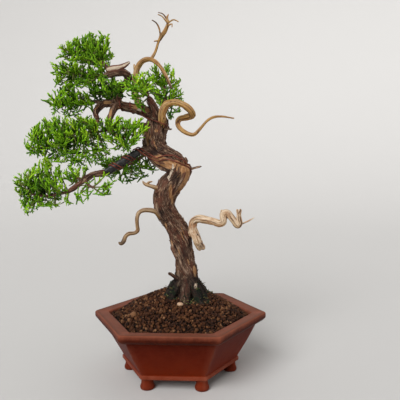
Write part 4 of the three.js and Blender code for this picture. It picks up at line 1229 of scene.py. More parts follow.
jins = {
    "jin_crown": {
        "tan": 0.82,
        "old": 0.0,
        "limbs": [
            [
                (-36, 5.5, 261, 3), (-39.4, 6.5, 268, 3), (-41.8, 8, 276.1, 3), (-43.9, 9, 287.4, 2.9),
                (-43, 9, 297.5, 2.8), (-39.9, 9, 308, 2.6), (-34.5, 8, 313.3, 2.4),
                (-27.6, 7, 314.4, 2.2), (-21.2, 5, 310.9, 1.9), (-15.4, 3, 304.4, 1.7),
                (-10.4, 1, 296.4, 1.5), (-6.5, -1, 287.8, 1.3), (-4, -3, 281.9, 1),
            ],
            [
                (-27, 7, 312.5, 1.8), (-25, 7.2, 316, 1.5), (-22.1, 8, 321.2, 1.3),
                (-18.4, 9, 331.8, 1.3), (-15.8, 10, 337.6, 1.9), (-12, 10, 342.9, 1.9),
                (-9.1, 10, 350.3, 1.7), (-9.6, 10, 355.8, 1.1), (-8, 10, 360, 0.5),
            ],
            [(-16.4, 9.5, 337, 1.1), (-18, 8, 346.4, 0.8), (-20.4, 7, 350.4, 0.7), (-25, 6, 353.3, 0.6)],
            [(-17.5, 9, 333, 1), (-20, 7.5, 332.6, 0.8), (-23.1, 6, 331.7, 0.6)],
            [(-9.6, 10, 354.5, 0.9), (-13.6, 8.5, 359.4, 0.7), (-18.8, 7, 360.8, 0.5)],
            [(-9.4, 9.5, 351, 0.9), (-14.1, 7, 356.4, 0.6), (-18.5, 5, 358.1, 0.5)],
            [(-9.4, 10, 350.5, 0.9), (-2.8, 8, 353.2, 0.7), (2.7, 7, 350.4, 0.5)],
            [(-9.6, 10, 347.5, 0.9), (-4.6, 8, 349.1, 0.7), (-4.4, 7, 345.1, 0.6)],
            [(-41.6, 9, 302, 2.1), (-43.4, 9.3, 307, 1.4), (-44.3, 9.5, 311, 0.7)],
        ],
    },
    "jin_loop": {
        "tan": 0.9,
        "old": 0.04,
        "limbs": [
            [
                (-16.5, 2, 245, 3.7), (-14.4, -2, 251, 3.6), (-13.3, -5, 259.3, 3.5),
                (-8.9, -7, 266.2, 3.3), (-0.3, -9, 267.8, 2.9), (8.6, -10, 264.7, 2.9),
                (14.8, -9, 259.4, 3.1), (15.8, -4, 255.8, 3.1), (9.1, 3, 254.8, 2.9),
                (2.2, 6, 253.8, 2.5), (0.5, 3, 248.2, 2.2), (5.4, -2, 241.6, 2),
                (11.7, -5, 237.6, 1.8), (17.6, -7, 236.3, 1.7), (23.8, -8, 241.7, 1.4),
                (30.3, -9, 248.7, 1.3), (37.1, -9, 252.5, 1.2), (44.4, -8, 253.2, 1),
                (57.4, -7, 251.2, 0.7),
            ],
        ],
    },
    "jin_right": {
        "tan": 0.2,
        "old": 0.0,
        "limbs": [
            [
                (21.4, -2, 126, 3.2), (19.4, -2, 131.5, 4.1), (16.6, -1, 138.4, 4.2),
                (14.7, -1, 145.2, 3.8), (15.8, -2, 150.2, 3.7), (20, -4, 153.2, 3.7),
                (26.8, -7, 153, 3.6), (35.6, -10, 151.2, 3.4), (42.3, -11, 149.3, 3.4),
                (46, -12, 151.6, 3.3), (45.6, -12, 158.5, 3), (48.8, -12, 160, 2.9),
                (54, -11, 154, 3.2), (59.6, -10, 147, 2.8), (61.6, -11, 149.5, 2.4),
                (60.6, -12, 156, 2.1), (62.4, -13, 163.6, 1.2),
            ],
            [(60.8, -12.5, 157, 1.7), (58.9, -13, 163.4, 0.9)],
            [(19.6, -1, 132, 3.4), (23.6, -2.5, 126, 2.8), (26.2, -3, 122.6, 1.5)],
            [(18.8, -1.5, 131, 3.2), (20.6, -2.5, 125, 2.5), (22.4, -2.5, 121.4, 1.4)],
            [(17, -1, 135, 2.6), (17.7, -3, 128.4, 1.6), (19.2, -3.4, 124.6, 0.8)],
            [(46, -12, 153.5, 2), (44.2, -12.5, 159.8, 1.4), (44, -12.5, 163.2, 0.6)],
            [(2, 5, 136, 3.6), (10, 3.5, 137.6, 3.4), (17, 0, 138.8, 3.2)],
            [(59.5, -10.5, 147.2, 1.2), (68.7, -9, 150.8, 0.8), (76.1, -7, 154.8, 0.5)],
        ],
    },
    "jin_left": {
        "tan": 0.6,
        "old": 0.42,
        "limbs": [
            [
                (-10, 0, 152, 2.8), (-17.6, -4, 156.4, 2.5), (-21.8, -7, 161.2, 2.2),
                (-30.8, -10, 162.9, 2), (-34.9, -11, 162.1, 1.9), (-37.8, -12, 159.7, 1.9),
                (-39.2, -12, 154.7, 1.8), (-39.3, -11, 147.1, 1.7), (-38.9, -10.5, 143, 1.8),
                (-41.3, -11, 140.6, 1.75), (-47.8, -13, 139.7, 1.8), (-50.7, -14, 136.9, 1.9),
                (-52.4, -15, 132.6, 2), (-54.7, -16, 130.4, 1.6), (-57.1, -17, 132.1, 1.1),
            ],
        ],
    },
    "jin_stub": {
        "tan": 0.6,
        "old": 0.2,
        "limbs": [
            [
                (-12, -4, 181.5, 2.8), (-17.8, -7, 184, 2.5), (-26.1, -11, 186.8, 1.8),
                (-30.8, -12, 188.5, 1.5), (-33, -13, 191.5, 0.8),
            ],
            [(-29.5, -11.5, 187.6, 1.1), (-26.6, -12.5, 190.2, 1), (-22.9, -13.5, 191, 0.6)],
        ],
    },
}
deadwood = {
    "step": 0.6,
    "voxel": 0.5,
    "smoothing": 1,
    "groove": 0.46,
    "grooveSize": (1.2, 1.2, 15),
    "swell": 0.42,
    "swellSize": (3.2, 3.2, 6),
    "crack": 0.7,
    "crackSize": (2.4, 2.4, 24),
    "crackWidth": 0.14,
    "pale": {
        0.32: (0.13, 0.052, 0.020), 0.42: (0.38, 0.225, 0.120), 0.52: (0.66, 0.51, 0.365),
        0.70: (0.84, 0.75, 0.61),
    },
    "warm": {
        0.30: (0.085, 0.029, 0.007), 0.42: (0.25, 0.112, 0.024), 0.55: (0.45, 0.250, 0.065),
        0.74: (0.64, 0.43, 0.165),
    },
    "stain": (0.34, 0.135, 0.042),
    "thread": (0.74, 0.64, 0.50),
    "creviceShade": (0.085, 0.034, 0.014),
    "scorched": (0.055, 0.034, 0.024),
}

# Ends gone dark with age: (centre, reach)
scorchedSpots = [
    ((-55, -16, 132), 9), ((-4, -3, 284), 7), ((22, -3, 126), 4), ((-22, 7, 352), 7), ((46, -12, 159), 3),
    ((15, 3, 254), 3), ((-15, 10, 337), 4), ((-39, 10, 150), 5),
]


def deadwoodFinish():
    finish = Finish("strippedWood")
    streak = finish.grained((1.1, 1.1, 0.075), 5, 0.68, 0.5)
    thread = finish.grained((5, 5, 0.25), 4, 0.6)
    stain = finish.noise(90, 3, 0.6)
    # painted shade in the wood's grooves and cracks: dark where the relief is low
    creviceShade = (0.5 - 0.5 * finish.painted("relief")).clamped()
    colour = finish.layered(finish.ramp(streak, deadwood["pale"]), [
        # the tan mask is each jin's tan with random patches, plus painted shade on the undersides
        (finish.painted("tan"), finish.ramp(streak, deadwood["warm"])),
        (stain.step(0.50, 0.68) * 0.6, deadwood["stain"]),
        (thread.step(0.56, 0.74) * 0.3, deadwood["thread"]),
        (creviceShade.step(0.38, 0.80) * 0.9, deadwood["creviceShade"]),
        (finish.painted("scorched") * 0.85, deadwood["scorched"]),
    ])
    relief = (streak * 0.9 + thread * 0.6, 0.6, 0.0007)
    return finish.done(colour, 0.62 + 0.2 * streak, relief, {"Specular IOR Level": 0.35})


def buildJins():
    material = deadwoodFinish()
    lines = []
    for name, jin in jins.items():
        own = [smoothLine(points, deadwood["step"]) for points in jin["limbs"]]
        lines += own
        verts, quads, grain, radius, _ = grownSkin(own, [18] * len(own), deadwood)
        size = np.clip(radius / 2.6, 0.25, 1.2)
        grooves = ridges(grain, deadwood["grooveSize"], 51)
        swell = lumps(grain, deadwood["swellSize"], 52, 2)
        cracks = smoothstep(deadwood["crackWidth"], 0.0, np.abs(lumps(grain, deadwood["crackSize"], 53)))
        push = deadwood["groove"] * grooves + deadwood["swell"] * swell - deadwood["crack"] * cracks
        normals = normalsOf(verts, quads)
        # painted shade: undersides turn more to the warm orange-brown colour
        under = 0.5 * smoothstep(0.1, -0.8, normals[:, 2])
        verts = verts + normals * (size * push)[:, None]
        scorched = jin["old"] * (1 + 0.8 * lumps(grain, (2.5, 2.5, 12), 56, 2))
        ragged = 1.2 + 0.4 * lumps(grain, (1.5, 1.5, 6), 54)
        for centre, reach in scorchedSpots:
            scorched = np.maximum(scorched, np.clip(ragged - lengths(verts - centre) / reach, 0, 1))
        painted = {
            "grain": grain,
            "relief": np.clip(grooves - 1.6 * cracks, -1, 1),
            "tan": np.clip(jin["tan"] + 0.35 * lumps(grain, (3, 3, 14), 55, 2) + under, 0, 1),
            "scorched": scorched,
        }
        addPiece(name + "_wood", verts, [quads], [material], [name], painted)
    return lines


# Cut apex: the old leader's top, its pale split face inside a rim of bark

apex = {
    "spine": [
        (-67.5, -9.3, 301.2, 2.4), (-61.3, -9.3, 301.9, 3.1), (-55.3, -9.3, 302.6, 2.9),
        (-49.3, -9, 304.9, 2.1), (-44.4, -8, 308.2, 0.8),
    ],
    "tall": 0.95,
    "deep": 0.62,
    "face": {
        0.28: (0.20, 0.10, 0.055), 0.45: (0.46, 0.35, 0.24), 0.62: (0.68, 0.60, 0.48),
        0.82: (0.80, 0.75, 0.65),
    },
    "skin": {0.3: (0.045, 0.014, 0.009), 0.55: (0.16, 0.055, 0.030), 0.8: (0.32, 0.15, 0.085)},
}


def apexFinish():
    finish = Finish("splitApex")
    streak = finish.grained((1.6, 1.6, 0.12), 5, 0.62, 0.4)
    rim = finish.painted("rim").step(0.4, 0.6)
    colour = finish.layered(finish.ramp(streak, apex["face"]), [(rim, finish.ramp(streak, apex["skin"]))])
    return finish.done(colour, 0.7 + 0.15 * streak, (streak, 0.6, 0.0007))


def buildApex():
    line = smoothLine(apex["spine"], 0.4)
    verts, faces = tube(line, 36)
    middle = np.array([line[np.argmin(np.abs(line[:, 0] - spot[0])), :3] for spot in verts])
    away = (verts - middle) * (1.0, apex["deep"], apex["tall"])
    verts = middle + away
    grain, _, _ = alongLimbs(verts, [line])
    radius = np.interp(verts[:, 0], line[:, 0], line[:, 3])
    rim = np.abs(away[:, 2]) / (radius * apex["tall"] + 0.01) + 0.25 * lumps(grain, (1.5, 1.5, 5), 72, 2)
    rim = np.clip(1.25 * rim, 0, 1) ** 1.4
    push = 0.22 * ridges(grain, (1.1, 1.1, 12), 71, 2) + 0.3 * (rim > 0.55)
    verts = verts + unit(away) * push[:, None]
    painted = {"grain": grain, "rim": rim}
    addPiece("apex_split", verts, faces, [apexFinish()], ["jin_apex"], painted)
    return line


# Tape: black rubber wound round the bent part of the first branch, each turn over the last

tape = {
    "from": 0.15,
    "to": 0.6,
    "outer": 4.1,
    "lap": 0.62,
    "width": 5.2,
    "creases": 0.34,
    "rubber": {0.35: (0.0045, 0.0042, 0.0045), 0.6: (0.009, 0.0085, 0.009), 0.8: (0.030, 0.027, 0.027)},
}


def tapeFinish():
    finish = Finish("rubberTape")
    fine = finish.noise(700, 3, 0.6)
    cloud = finish.noise(120, 3, 0.6)
    colour = finish.ramp(cloud, tape["rubber"])
    return finish.done(colour, 0.34 + 0.3 * cloud, (fine + cloud, 0.35, 0.0004))


def lapped(angle, run):
    # the tape's outside as a share of its full size
    phase = (run / tape["width"] + angle / (2 * math.pi) + 0.12 * np.sin(run * 0.35)) % 1.0
    edge = smoothstep(0.93, 1.0, phase)
    reach = tape["outer"] - tape["lap"] * (1 - phase) * (1 - edge) - tape["lap"] * edge
    return reach / tape["outer"] * (1 + 0.03 * np.sin(3 * angle + run * 0.5))


def buildTape():
    whole = smoothLine(wood["firstBranch"], 0.6)
    line = whole[int(len(whole) * tape["from"]):int(len(whole) * tape["to"])].copy()
    line[:, 3] = tape["outer"] - 0.15
    verts, faces = tube(line, 56, swell=lapped)
    verts = verts + tape["creases"] * np.column_stack([lumps(verts, 3, 60 + k, 2) for k in range(3)])
    return addPiece("rubber_tape", verts, faces, [tapeFinish()], ["branch_wrap"])


# Training wire: copper gone dull red, let down onto the wood and tape that it lies on

wires = {
    "wire_branch_1": {
        "anchor": [(12, -1, 199), (11, -10, 203), (3, -16, 209), (-8, -14, 212), (-19, -11, 211)],
        "limb": "firstBranch", "from": 0.19, "to": 0.55, "start": -0.05, "turns": 2.6, "around": 4.1,
    },
    "wire_branch_2": {
        "anchor": [(13, 0, 203), (10, -9, 207), (1, -14, 214), (-9, -12, 216.5), (-18, -10, 214)],
        "limb": "firstBranch", "from": 0.16, "to": 0.52, "start": -0.05, "turns": 2.6, "around": 4.1,
    },
    "wire_limb": {
        "anchor": [(-12, 14, 244), (-9, 6, 246), (-11, -4, 247), (-19, -7, 250), (-26, -3, 252.5)],
        "limb": "leftLimb", "from": 0.24, "to": 0.6, "start": -0.15, "turns": 2.7, "around": 0,
    },
}
wire = {
    "radius": 0.62,
    "gap": 0.06,
    "settling": 5,
    "copper": {0.35: (0.085, 0.020, 0.013), 0.55: (0.19, 0.045, 0.025), 0.75: (0.33, 0.11, 0.06)},
}


def wireFinish():
    finish = Finish("dullCopperWire")
    cloud = finish.noise(260, 3, 0.6)
    colour = finish.ramp(cloud, wire["copper"])
    return finish.done(colour, 0.42 + 0.25 * cloud, (cloud, 0.12, 0.0002), {"Metallic": 0.55})


def turnsRound(setup):
    line = smoothLine(wood[setup["limb"]], 0.7)
    ahead, _, _ = framesAlong(line)
    count = math.ceil(setup["turns"] * 14)
    facing = np.array((0.0, -1.0, 0.0))
    route = []
    for i in range(count + 1):
        share = setup["from"] + (setup["to"] - setup["from"]) * i / count
        k = min(int(round(share * (len(line) - 1))), len(line) - 1)
        angle = (setup["start"] + setup["turns"] * i / count) * 2 * math.pi
        toward = unit(facing - ahead[k] * (facing @ ahead[k]))
        aside = np.cross(ahead[k], toward)
        reach = max(setup["around"], line[k, 3]) + wire["radius"]
        route.append(line[k, :3] + toward * math.cos(angle) * reach + aside * math.sin(angle) * reach)
    return route


def buildWires(carriers):
    skin = surfaceOf(carriers)
    material = wireFinish()
    radius = wire["radius"]
    for name, setup in wires.items():
        points = smoothLine([(*spot, radius) for spot in [*setup["anchor"], *turnsRound(setup)]], 0.9)
        for _ in range(wire["settling"]):
            for i, spot in enumerate(points[:, :3]):
                foot, normal, _, gap = skin.find_nearest(Vector(spot))
                away = spot - np.array(foot)
                inside = away @ np.array(normal) < 0
                if inside or gap < radius + 0.05:
                    out = np.array(normal) if inside else unit(away)
                    points[i, :3] = np.array(foot) + out * (radius + wire["gap"])
            points[1:-1, :3] = 0.5 * points[1:-1, :3] + 0.25 * (points[:-2, :3] + points[2:, :3])
        verts, faces = tube(points, 10)
        addPiece(name + "_round", verts, faces, [material], [name])


# Foliage: sprays of scale-leaved shoots on woody twigs

pads = {
    "crown_top": {
        "lighter": 0.06,
        "stem": [
            (-70.4, -3, 306.6, 1.6), (-76, 0, 313, 1.6), (-85, 3, 320, 1.5), (-97, 5, 323, 1.3),
            (-107, 6, 324, 1.1),
        ],
        "tips": [
            (-77, 5, 341), (-67, -4, 334), (-82, -11, 335), (-95, 11, 339), (-99, -5, 331),
            (-111, 7, 333), (-115, -3, 325), (-120, 6, 319), (-88, 25, 335), (-110, 24, 328),
            (-69, 17, 322), (-91, -15, 311), (-77, -15, 306), (-87, 18, 313), (-76, -8, 315),
        ],
    },
    "crown_mid": {
        "lighter": 0,
        "stem": [
            (-71, -4, 296.5, 1.9), (-82, -3, 297.5, 1.7), (-95, 0, 300, 1.5), (-109, 4, 303, 1.3),
            (-117, 6, 305, 1.1),
        ],
        "tips": [
            (-126, 2, 311), (-129, 11, 303), (-120, -2, 294), (-109, -9, 308), (-96, -14, 305),
            (-88, -16, 287), (-113, 12, 287), (-113, 26, 308), (-95, 24, 303), (-76, -11, 307),
            (-73, -9, 301), (-76, -6, 291), (-82, -11, 297),
        ],
    },
    "crown_back": {
        "lighter": -0.17,
        "stem": [
            (-57.6, 4.6, 281.4, 1.9), (-62, 11, 285, 1.6), (-71, 15, 285.5, 1.3), (-79, 16, 284, 1.1),
        ],
        "tips": [
            (-65, 10, 296), (-60, 22, 292), (-82, 20, 295), (-91, 13, 283), (-74, 28, 279),
            (-64, 20, 274), (-82, 14, 275), (-88, -4, 289), (-81, -4, 282), (-70, -13, 292),
            (-61, -15, 286), (-68, -13, 280), (-57, -14, 278),
        ],
    },
    "crown_low": {
        "lighter": 0,
        "stem": [
            (-93.5, 13.6, 273.6, 1.5), (-104, 12, 273, 1.4), (-114, 10, 273, 1.2), (-123, 8, 273, 1.1),
        ],
        "tips": [
            (-133, 8, 272), (-129, -1, 279), (-124, 13, 284), (-110, -8, 279), (-99, -4, 281),
            (-126, 3, 263), (-119, 28, 276), (-105, 27, 279), (-102, 0, 261), (-113, 7, 259),
            (-92, -2, 279), (-88, 2, 270), (-112, 0, 290),
        ],
    },
    "middle": {
        "lighter": 0.04,
        "stem": [
            (-81, 4.2, 255.4, 1.8), (-84, 0, 245, 1.7), (-94, -2, 237, 1.6), (-111, 0, 232, 1.5),
            (-129, 2, 229, 1.3), (-143, 3, 227, 1.1),
        ],
        "tips": [
            (-135, 2, 255), (-121, -7, 255), (-144, 12, 251), (-146, -3, 244), (-155, 8, 240),
            (-156, 0, 229), (-155, 9, 221), (-126, 5, 215), (-106, -12, 252), (-96, -8, 254),
            (-118, -16, 238), (-103, -20, 238), (-89, -20, 240), (-110, 19, 249), (-107, -7, 207),
            (-116, 4, 217), (-135, -2, 217), (-94, -12, 212), (-83, -4, 215), (-71, 2, 219),
            (-82, -12, 250), (-77, -10, 244), (-80, -8, 221), (-68, -6, 211),
        ],
    },
    "inner": {
        "lighter": 0,
        "stem": [
            (-66.1, -7.9, 249, 1.8), (-62.5, -12, 241, 1.6), (-55, -16, 235, 1.4),
            (-46, -17, 234, 1.1),
        ],
        "tips": [
            (-65, -20, 251), (-54, -18, 251), (-44, -22, 247), (-34, -12, 250), (-67, -23, 234),
            (-52, -28, 230), (-35, -19, 231), (-58, -8, 223), (-46, -16, 222), (-29, -14, 243),
        ],
    },
    "front": {
        "lighter": 0,
        "stem": [(-26.8, -8.2, 273.4, 2.2), (-28, -12, 279, 1.6), (-30, -14, 283, 1.2)],
        "tips": [
            (-39, -12, 291), (-31, -16, 294), (-23, -12, 290), (-41, -19, 279), (-32, -25, 277),
            (-21, -19, 279), (-52, -14, 286), (-45, -18, 279), (-39, -20, 271), (-36, -16, 265),
        ],
    },
    "right": {
        "lighter": 0,
        "stem": [(-14.3, 23.8, 273, 2), (-15, 26, 283, 1.6), (-16, 27, 291, 1.3), (-17, 27, 299, 1.1)],
        "tips": [
            (-25, 22, 311), (-12, 29, 313), (-32, 28, 302), (-5, 20, 304), (-1, 32, 295),
            (-3, 20, 285), (0, 26, 264), (-10, 30, 259), (-24, 38, 278), (2, 26, 277), (-29, 20, 285),
            (-22, 22, 277),
        ],
    },
    "first_tip": {
        "lighter": 0.05,
        "stem": [
            (-105.5, -18, 182, 1.3), (-118, -18, 179, 1.4), (-129, -17, 178, 1.3),
            (-139, -16, 179, 1.2), (-147, -15, 181, 1.1),
        ],
        "tips": [
            (-126, -15, 208), (-118, -8, 203), (-132, -28, 203), (-147, -12, 200), (-156, -21, 196),
            (-161, -8, 191), (-157, -16, 181), (-155, -11, 169), (-148, -20, 163), (-119, -33, 191),
            (-138, 0, 188), (-121, -12, 168), (-105, -24, 171), (-136, -12, 168), (-129, -14, 213),
            (-108, -18, 179),
        ],
    },
    "first_back": {
        "lighter": 0,
        "stem": [(-92, -18, 191.5, 1.4), (-95, -17, 195, 1.3), (-99, -15, 196.5, 1.1)],
        "tips": [
            (-111, -12, 199), (-101, -22, 203), (-98, -9, 203), (-88, -15, 204), (-108, -14, 187),
            (-100, -12, 191),
        ],
    },
    "first_twig": {
        "lighter": 0,
        "stem": [(-89, -18, 193.4, 1.4), (-83, -20, 187, 1.3), (-77, -21, 186, 1.1)],
        "tips": [(-70, -19, 195), (-61, -24, 189), (-66, -20, 178), (-85, -23, 176), (-96, -20, 177)],
    },
    "under": {
        # this pad is painted darker, as painted shade beneath the branches above it
        "lighter": -0.12,
        "stem": [(-25, 7, 226, 2.2), (-36, 10, 218, 1.8), (-47, 12, 211, 1.5), (-60, 14, 207, 1.2)],
        "tips": [
            (-27, 12, 203), (-39, 16, 195), (-51, 8, 191), (-64, 20, 194), (-75, 14, 199),
            (-81, 8, 209), (-73, 27, 215), (-39, 4, 209), (-31, 6, 206),
        ],
    },
    "rear": {
        "lighter": -0.08,
        "stem": [(-66, 43, 250, 1.8), (-83, 48, 249, 1.6), (-100, 50, 247, 1.3), (-114, 50, 248, 1.1)],
        "tips": [
            (-131, 49, 253), (-115, 42, 261), (-96, 53, 264), (-79, 47, 262), (-124, 60, 240),
            (-92, 58, 237),
        ],
    },
}
spray = {
    "perTip": 2,
    "spacing": 6.5,
    "tries": 11000,
    "length": (10.0, 16.0),
    "rise": 0.22,
    "sideEvery": 2.2,
    "sideLength": (4.8, 8.4),
    "sideAngle": (0.45, 0.8),
    "sideRise": 0.16,
    "smallLength": (2.6, 4.4),
    "thick": 0.72,
    "cord": [(0.0, 0.8), (0.27, 1.1), (0.5, 0.82), (0.82, 0.98)],
    "clear": 0.3,
    "spare": 4.5,
    "tone": 0.64,
    "insideShade": 0.055,
    "topLight": 0.17,
    "toneSpread": 0.11,
    "leaf": {
        0.0: (0.003, 0.012, 0.001), 0.25: (0.015, 0.060, 0.002), 0.5: (0.064, 0.205, 0.004),
        0.75: (0.190, 0.450, 0.008), 1.0: (0.46, 0.68, 0.025),
    },
    "newTips": (0.32, 0.60, 0.012),
    "yellower": (0.16, 0.21, 0.004),
    "bluer": (0.014, 0.075, 0.022),
    "shade": (0.018, 0.060, 0.004),
    "twig": {0.3: (0.045, 0.020, 0.012), 0.55: (0.13, 0.058, 0.030), 0.78: (0.23, 0.13, 0.075)},
    "greenTwig": (0.11, 0.16, 0.020),
}


def leafFinish():
    finish = Finish("juniperLeaf")
    tone = finish.painted("tone")
    along = finish.painted("along")
    fine = finish.noise(900, 2, 0.6)
    mood = finish.noise(48, 2, 0.5)
    colour = finish.layered(finish.ramp(tone, spray["leaf"]), [
        (along * along * tone * 0.9, spray["newTips"]),
        (mood.step(0.55, 0.72) * 0.3, spray["yellower"]),
        (mood.step(0.45, 0.30) * 0.3, spray["bluer"]),
        (fine.step(0.5, 0.8) * 0.25, spray["shade"]),
    ])
    return finish.done(colour, 0.55, (finish.cells(950), 0.5, 0.0004), {"Specular IOR Level": 0.2})


def twigFinish():
    finish = Finish("juniperTwig")
    fine = finish.noise(500, 4, 0.6)
    colour = finish.ramp(fine, spray["twig"])
    colour = finish.layered(colour, [(finish.painted("tone") * 0.75, spray["greenTwig"])])
    return finish.done(colour, 0.85, (fine, 0.5, 0.0005))


def turnedAway(direction, angle, spin):
    side = unit(np.cross(direction, up if abs(direction[2]) < 0.9 else (1.0, 0.0, 0.0)))
    over = np.cross(direction, side)
    aside = side * math.cos(spin) + over * math.sin(spin)
    return unit(direction * math.cos(angle) + aside * math.sin(angle))


def sprayShoots(root, direction, length, tone, random, shoots):
    # one spray: an axis with side shoots in two loose rows, and small shoots on those;
    # each shoot is (root, way, length, lift, thickness, tone, number of the shoot it grows from)
    rise, sideRise = spray["rise"], spray["sideRise"]
    curl = unit(direction + 0.45 * up)
    plane = random.uniform(0, math.pi)
    axis = len(shoots)
    shoots.append((root, direction, length, curl * length * rise, 1.12, tone, -1))
    count = int(length / spray["sideEvery"])
    for k in range(1, count + 1):
        share = k / (count + 0.6)
        start = root + direction * length * share + curl * length * rise * share ** 2
        lead = unit(direction + curl * 2 * rise * share)
        spin = plane + math.pi * (k % 2) + random.normal(0, 0.6)
        way = unit(turnedAway(lead, random.uniform(*spray["sideAngle"]), spin) + 0.2 * up)
        size = random.uniform(*spray["sideLength"]) * (1.12 - 0.5 * share)
        lighter = tone + random.normal(0, 0.09)
        side = len(shoots)
        shoots.append((start, way, size, up * size * sideRise, 1.0, lighter, axis))
        for _ in range(random.integers(0, 3)):
            along = random.uniform(0.25, 0.8)
            twig = start + way * size * along + up * size * sideRise * along ** 2
            small = turnedAway(way, random.uniform(*spray["sideAngle"]), random.uniform(0, 2 * math.pi))
            small = unit(small + 0.15 * up)
            smallLength = random.uniform(*spray["smallLength"])
            smallTone = lighter + random.normal(0.03, 0.08)
            shoots.append((twig, small, smallLength, up * 0.25, 0.88, smallTone, side))


def shootMesh(shoots):
    # every shoot as a three-sided scaly cord, closed at both ends
    root, way, length, lift, thick, tone, _ = (np.array(column) for column in zip(*shoots))
    helper = np.where(np.abs(way[:, 2:]) < 0.9, up, (1.0, 0.0, 0.0))
    side = unit(np.cross(way, helper))
    over = np.cross(way, side)
    rings = []
    for level, (share, wide) in enumerate(spray["cord"]):
        middle = root + way * (length * share)[:, None] + lift * share ** 2
        for corner in range(3):
            angle = corner * 2 * math.pi / 3 + level * 0.6
            out = side * math.cos(angle) + over * math.sin(angle)
            rings.append(middle + out * (thick * spray["thick"] * wide)[:, None])
    verts = np.stack([*rings, root + way * length[:, None] + lift], axis=1)
    points = len(rings) + 1
    sides = []
    for a, b, c, d in bands(len(spray["cord"]), 3):
        sides += [(a, b, c), (a, c, d)]
    faces = repeated([(2, 1, 0), *sides, *fan(points - 4, 3, points - 1)], points, len(shoots))
    along = np.array([share for share, _ in spray["cord"] for _ in range(3)] + [1.0])
    return verts.reshape(-1, 3), faces, np.repeat(tone, points), np.tile(along, len(shoots))


def prunedShoots(shoots, rods, hull):
    # leaves out the shoots that run into the wood or far out of the pad, and what grows on them
    normals, offsets = hull
    root = np.array([shoot[0] for shoot in shoots])
    reach = np.array([shoot[1] * shoot[2] + shoot[3] for shoot in shoots])
    free = np.max((root + reach) @ normals.T - offsets, axis=1) < spray["spare"]
    for share in (0.15, 0.6, 1.0):
        free &= nearestOn(root + reach * share, rods)[1] > spray["clear"]
    for number, shoot in enumerate(shoots):
        free[number] &= shoot[6] < 0 or free[shoot[6]]
    return [shoot for shoot, good in zip(shoots, free) if good]


def hullOf(points):
    # the flat faces of the smallest body round some points, as outward normals and distances
    shell = bmesh.new()
    for point in points:
        shell.verts.new(point)
    bmesh.ops.convex_hull(shell, input=shell.verts)
    middle = np.mean(points, axis=0)
    normals = []
    offsets = []
    for face in shell.faces:
        normal = np.array(face.normal)
        offset = normal @ np.array(face.verts[0].co)
        turn = -1 if normal @ middle > offset else 1
        normals.append(normal * turn)
        offsets.append(offset * turn)
    shell.free()
    return np.array(normals), np.array(offsets)


def fillSpots(tips, hull, random):
    # evenly scattered places that fill the pad between its tips
    normals, offsets = hull
    low, high = tips.min(axis=0) - 2, tips.max(axis=0) + 2
    tried = random.uniform(low, high, (spray["tries"], 3))
    tried = tried[np.max(tried @ normals.T - offsets, axis=1) < 1.0]
    kept = list(tips)
    for spot in tried:
        if np.min(lengths(np.array(kept) - spot)) > spray["spacing"]:
            kept.append(spot)
    return kept[len(tips):]


def twigFromStem(tip, stem):
    # the line of a twig that leaves the stem a little before the place nearest to its tip
    gaps = lengths(stem - tip)
    root = stem[max(int(np.argmin(gaps)) - int(0.18 * gaps.min()), 0)]
    bend = root + (tip - root) * 0.55 - up * 0.14 * np.linalg.norm(tip - root)
    shares = np.linspace(0, 1, 9)[:, None]
    return (1 - shares) ** 2 * root + 2 * shares * (1 - shares) * bend + shares ** 2 * tip


def twigFromJoint(tip, heart, joints):
    # a straight twig from the nearest joint that lies further in
    inward = joints[lengths(joints - heart) < 0.8 * np.linalg.norm(tip - heart)]
    base = inward[np.argmin(lengths(inward - tip))] if len(inward) else heart
    return base + (tip - base) * np.linspace(0, 1, 9)[:, None]


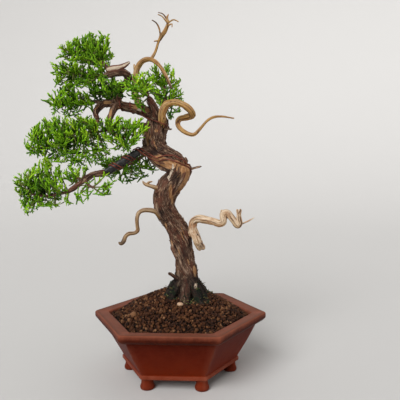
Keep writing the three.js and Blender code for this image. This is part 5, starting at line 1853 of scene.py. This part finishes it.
def buildFoliage(rods):
    materials = [leafFinish(), twigFinish()]
    for number, (name, pad) in enumerate(pads.items()):
        random = np.random.default_rng(300 + number)
        stem = smoothLine(pad["stem"], 2.0)
        twigs = [tube(stem, 8)]
        twigTones = [np.zeros(len(twigs[0][0]))]
        joints = stem = stem[:, :3]
        tips = np.array(pad["tips"], float)
        lowest, highest = tips[:, 2].min(), tips[:, 2].max()
        hull = hullOf(np.concatenate((tips, stem)))
        shoots = []
        for index, tip in enumerate([*tips, *fillSpots(tips, hull, random)]):
            outer = index < len(tips)
            heart = stem[np.argmin(lengths(stem - tip))]
            curve = twigFromStem(tip, stem) if outer else twigFromJoint(tip, heart, joints)
            joints = np.concatenate((joints, curve))
            thick = np.linspace(0.9, 0.45, 9)[:, None] * (1 if outer else 0.7)
            twigs.append(tube(np.hstack((curve, thick))[:8], 5))
            twigTones.append(np.full(len(twigs[-1][0]), 0.9))
            height = (tip[2] - lowest) / max(highest - lowest, 1)
            depth = -np.max(hull[0] @ tip - hull[1])
            outward = unit(tip - heart)
            for k in range(spray["perTip"] if outer else 1):
                length = random.uniform(*spray["length"])
                way = unit(outward + 0.4 * up + random.normal(0, 0.35 if k == 0 else 0.7, 3))
                start = tip - way * length * (0.9 if outer else random.uniform(0.6, 0.95))
                tone = spray["tone"] - spray["insideShade"] * max(depth, 0) + spray["topLight"] * height
                tone = tone + random.normal(0, spray["toneSpread"]) + pad["lighter"]
                sprayShoots(start, way, length, tone, random, shoots)
        twigVerts, twigFaces = joinedParts(twigs)
        leafVerts, leafFaces, tone, along = shootMesh(prunedShoots(shoots, rods, hull))
        verts, faces = joinedParts([(twigVerts, twigFaces), (leafVerts, [leafFaces])])
        painted = {
            "tone": np.clip(np.concatenate((*twigTones, tone)), 0, 1),
            "along": np.concatenate((np.zeros(len(twigVerts)), along)),
        }
        which = np.repeat((1, 0), (sum(len(group) for group in twigFaces), len(leafFaces)))
        replaced = ["foliage_" + name]
        addPiece("sprays_" + name, verts, faces, materials, replaced, painted, which)


# Backdrop: a round sweep of pale paper that rises well away from the pot on every side

def buildBackdrop():
    flat, bend, height = studio["flatReach"], studio["bend"], studio["height"]
    turns = [k / 12 * math.pi / 2 for k in range(1, 13)]
    rise = [(flat + bend * math.sin(turn), bend * (1 - math.cos(turn))) for turn in turns]
    profile = [(0, 0), (0.5, 0), (flat, 0), *rise, (flat + bend, height), (0, height)]
    verts, faces = turnedForm(profile, 96)
    mesh = makeMesh("paperSweep", verts, faces[:2])
    mesh.materials.append(paperFinish())
    sweep = newObject("paperSweep", mesh)
    sweep.visible_shadow = False  # the lamps stand outside the sweep


def buildWorld():
    world = bpy.data.worlds.new("studioAir")
    world.use_nodes = True
    background = world.node_tree.nodes["Background"]
    background.inputs["Color"].default_value = (*studio["air"], 1)
    background.inputs["Strength"].default_value = studio["airStrength"]
    bpy.context.scene.world = world
    bpy.context.scene.view_settings.view_transform = "Standard"


placeCamera(cameraSetup)
for lamp in studio["lamps"]:
    placeLamp(lamp)
buildBackdrop()
buildWorld()
buildPot()
buildDrainNet()
woodLines = {name: smoothLine(points, bark["step"]) for name, points in wood.items()}
buildSoil([woodLines[name] for name in rootedParts])
buildPebble()
trunkPiece = buildTrunk(woodLines)
buildMoss(trunkPiece)
deadLines = [*buildJins(), buildApex()]
tapePiece = buildTape()
buildWires([trunkPiece, tapePiece])
buildFoliage(np.concatenate([*woodLines.values(), *deadLines]))

bpy.context.view_layer.update()
print("all pieces made")
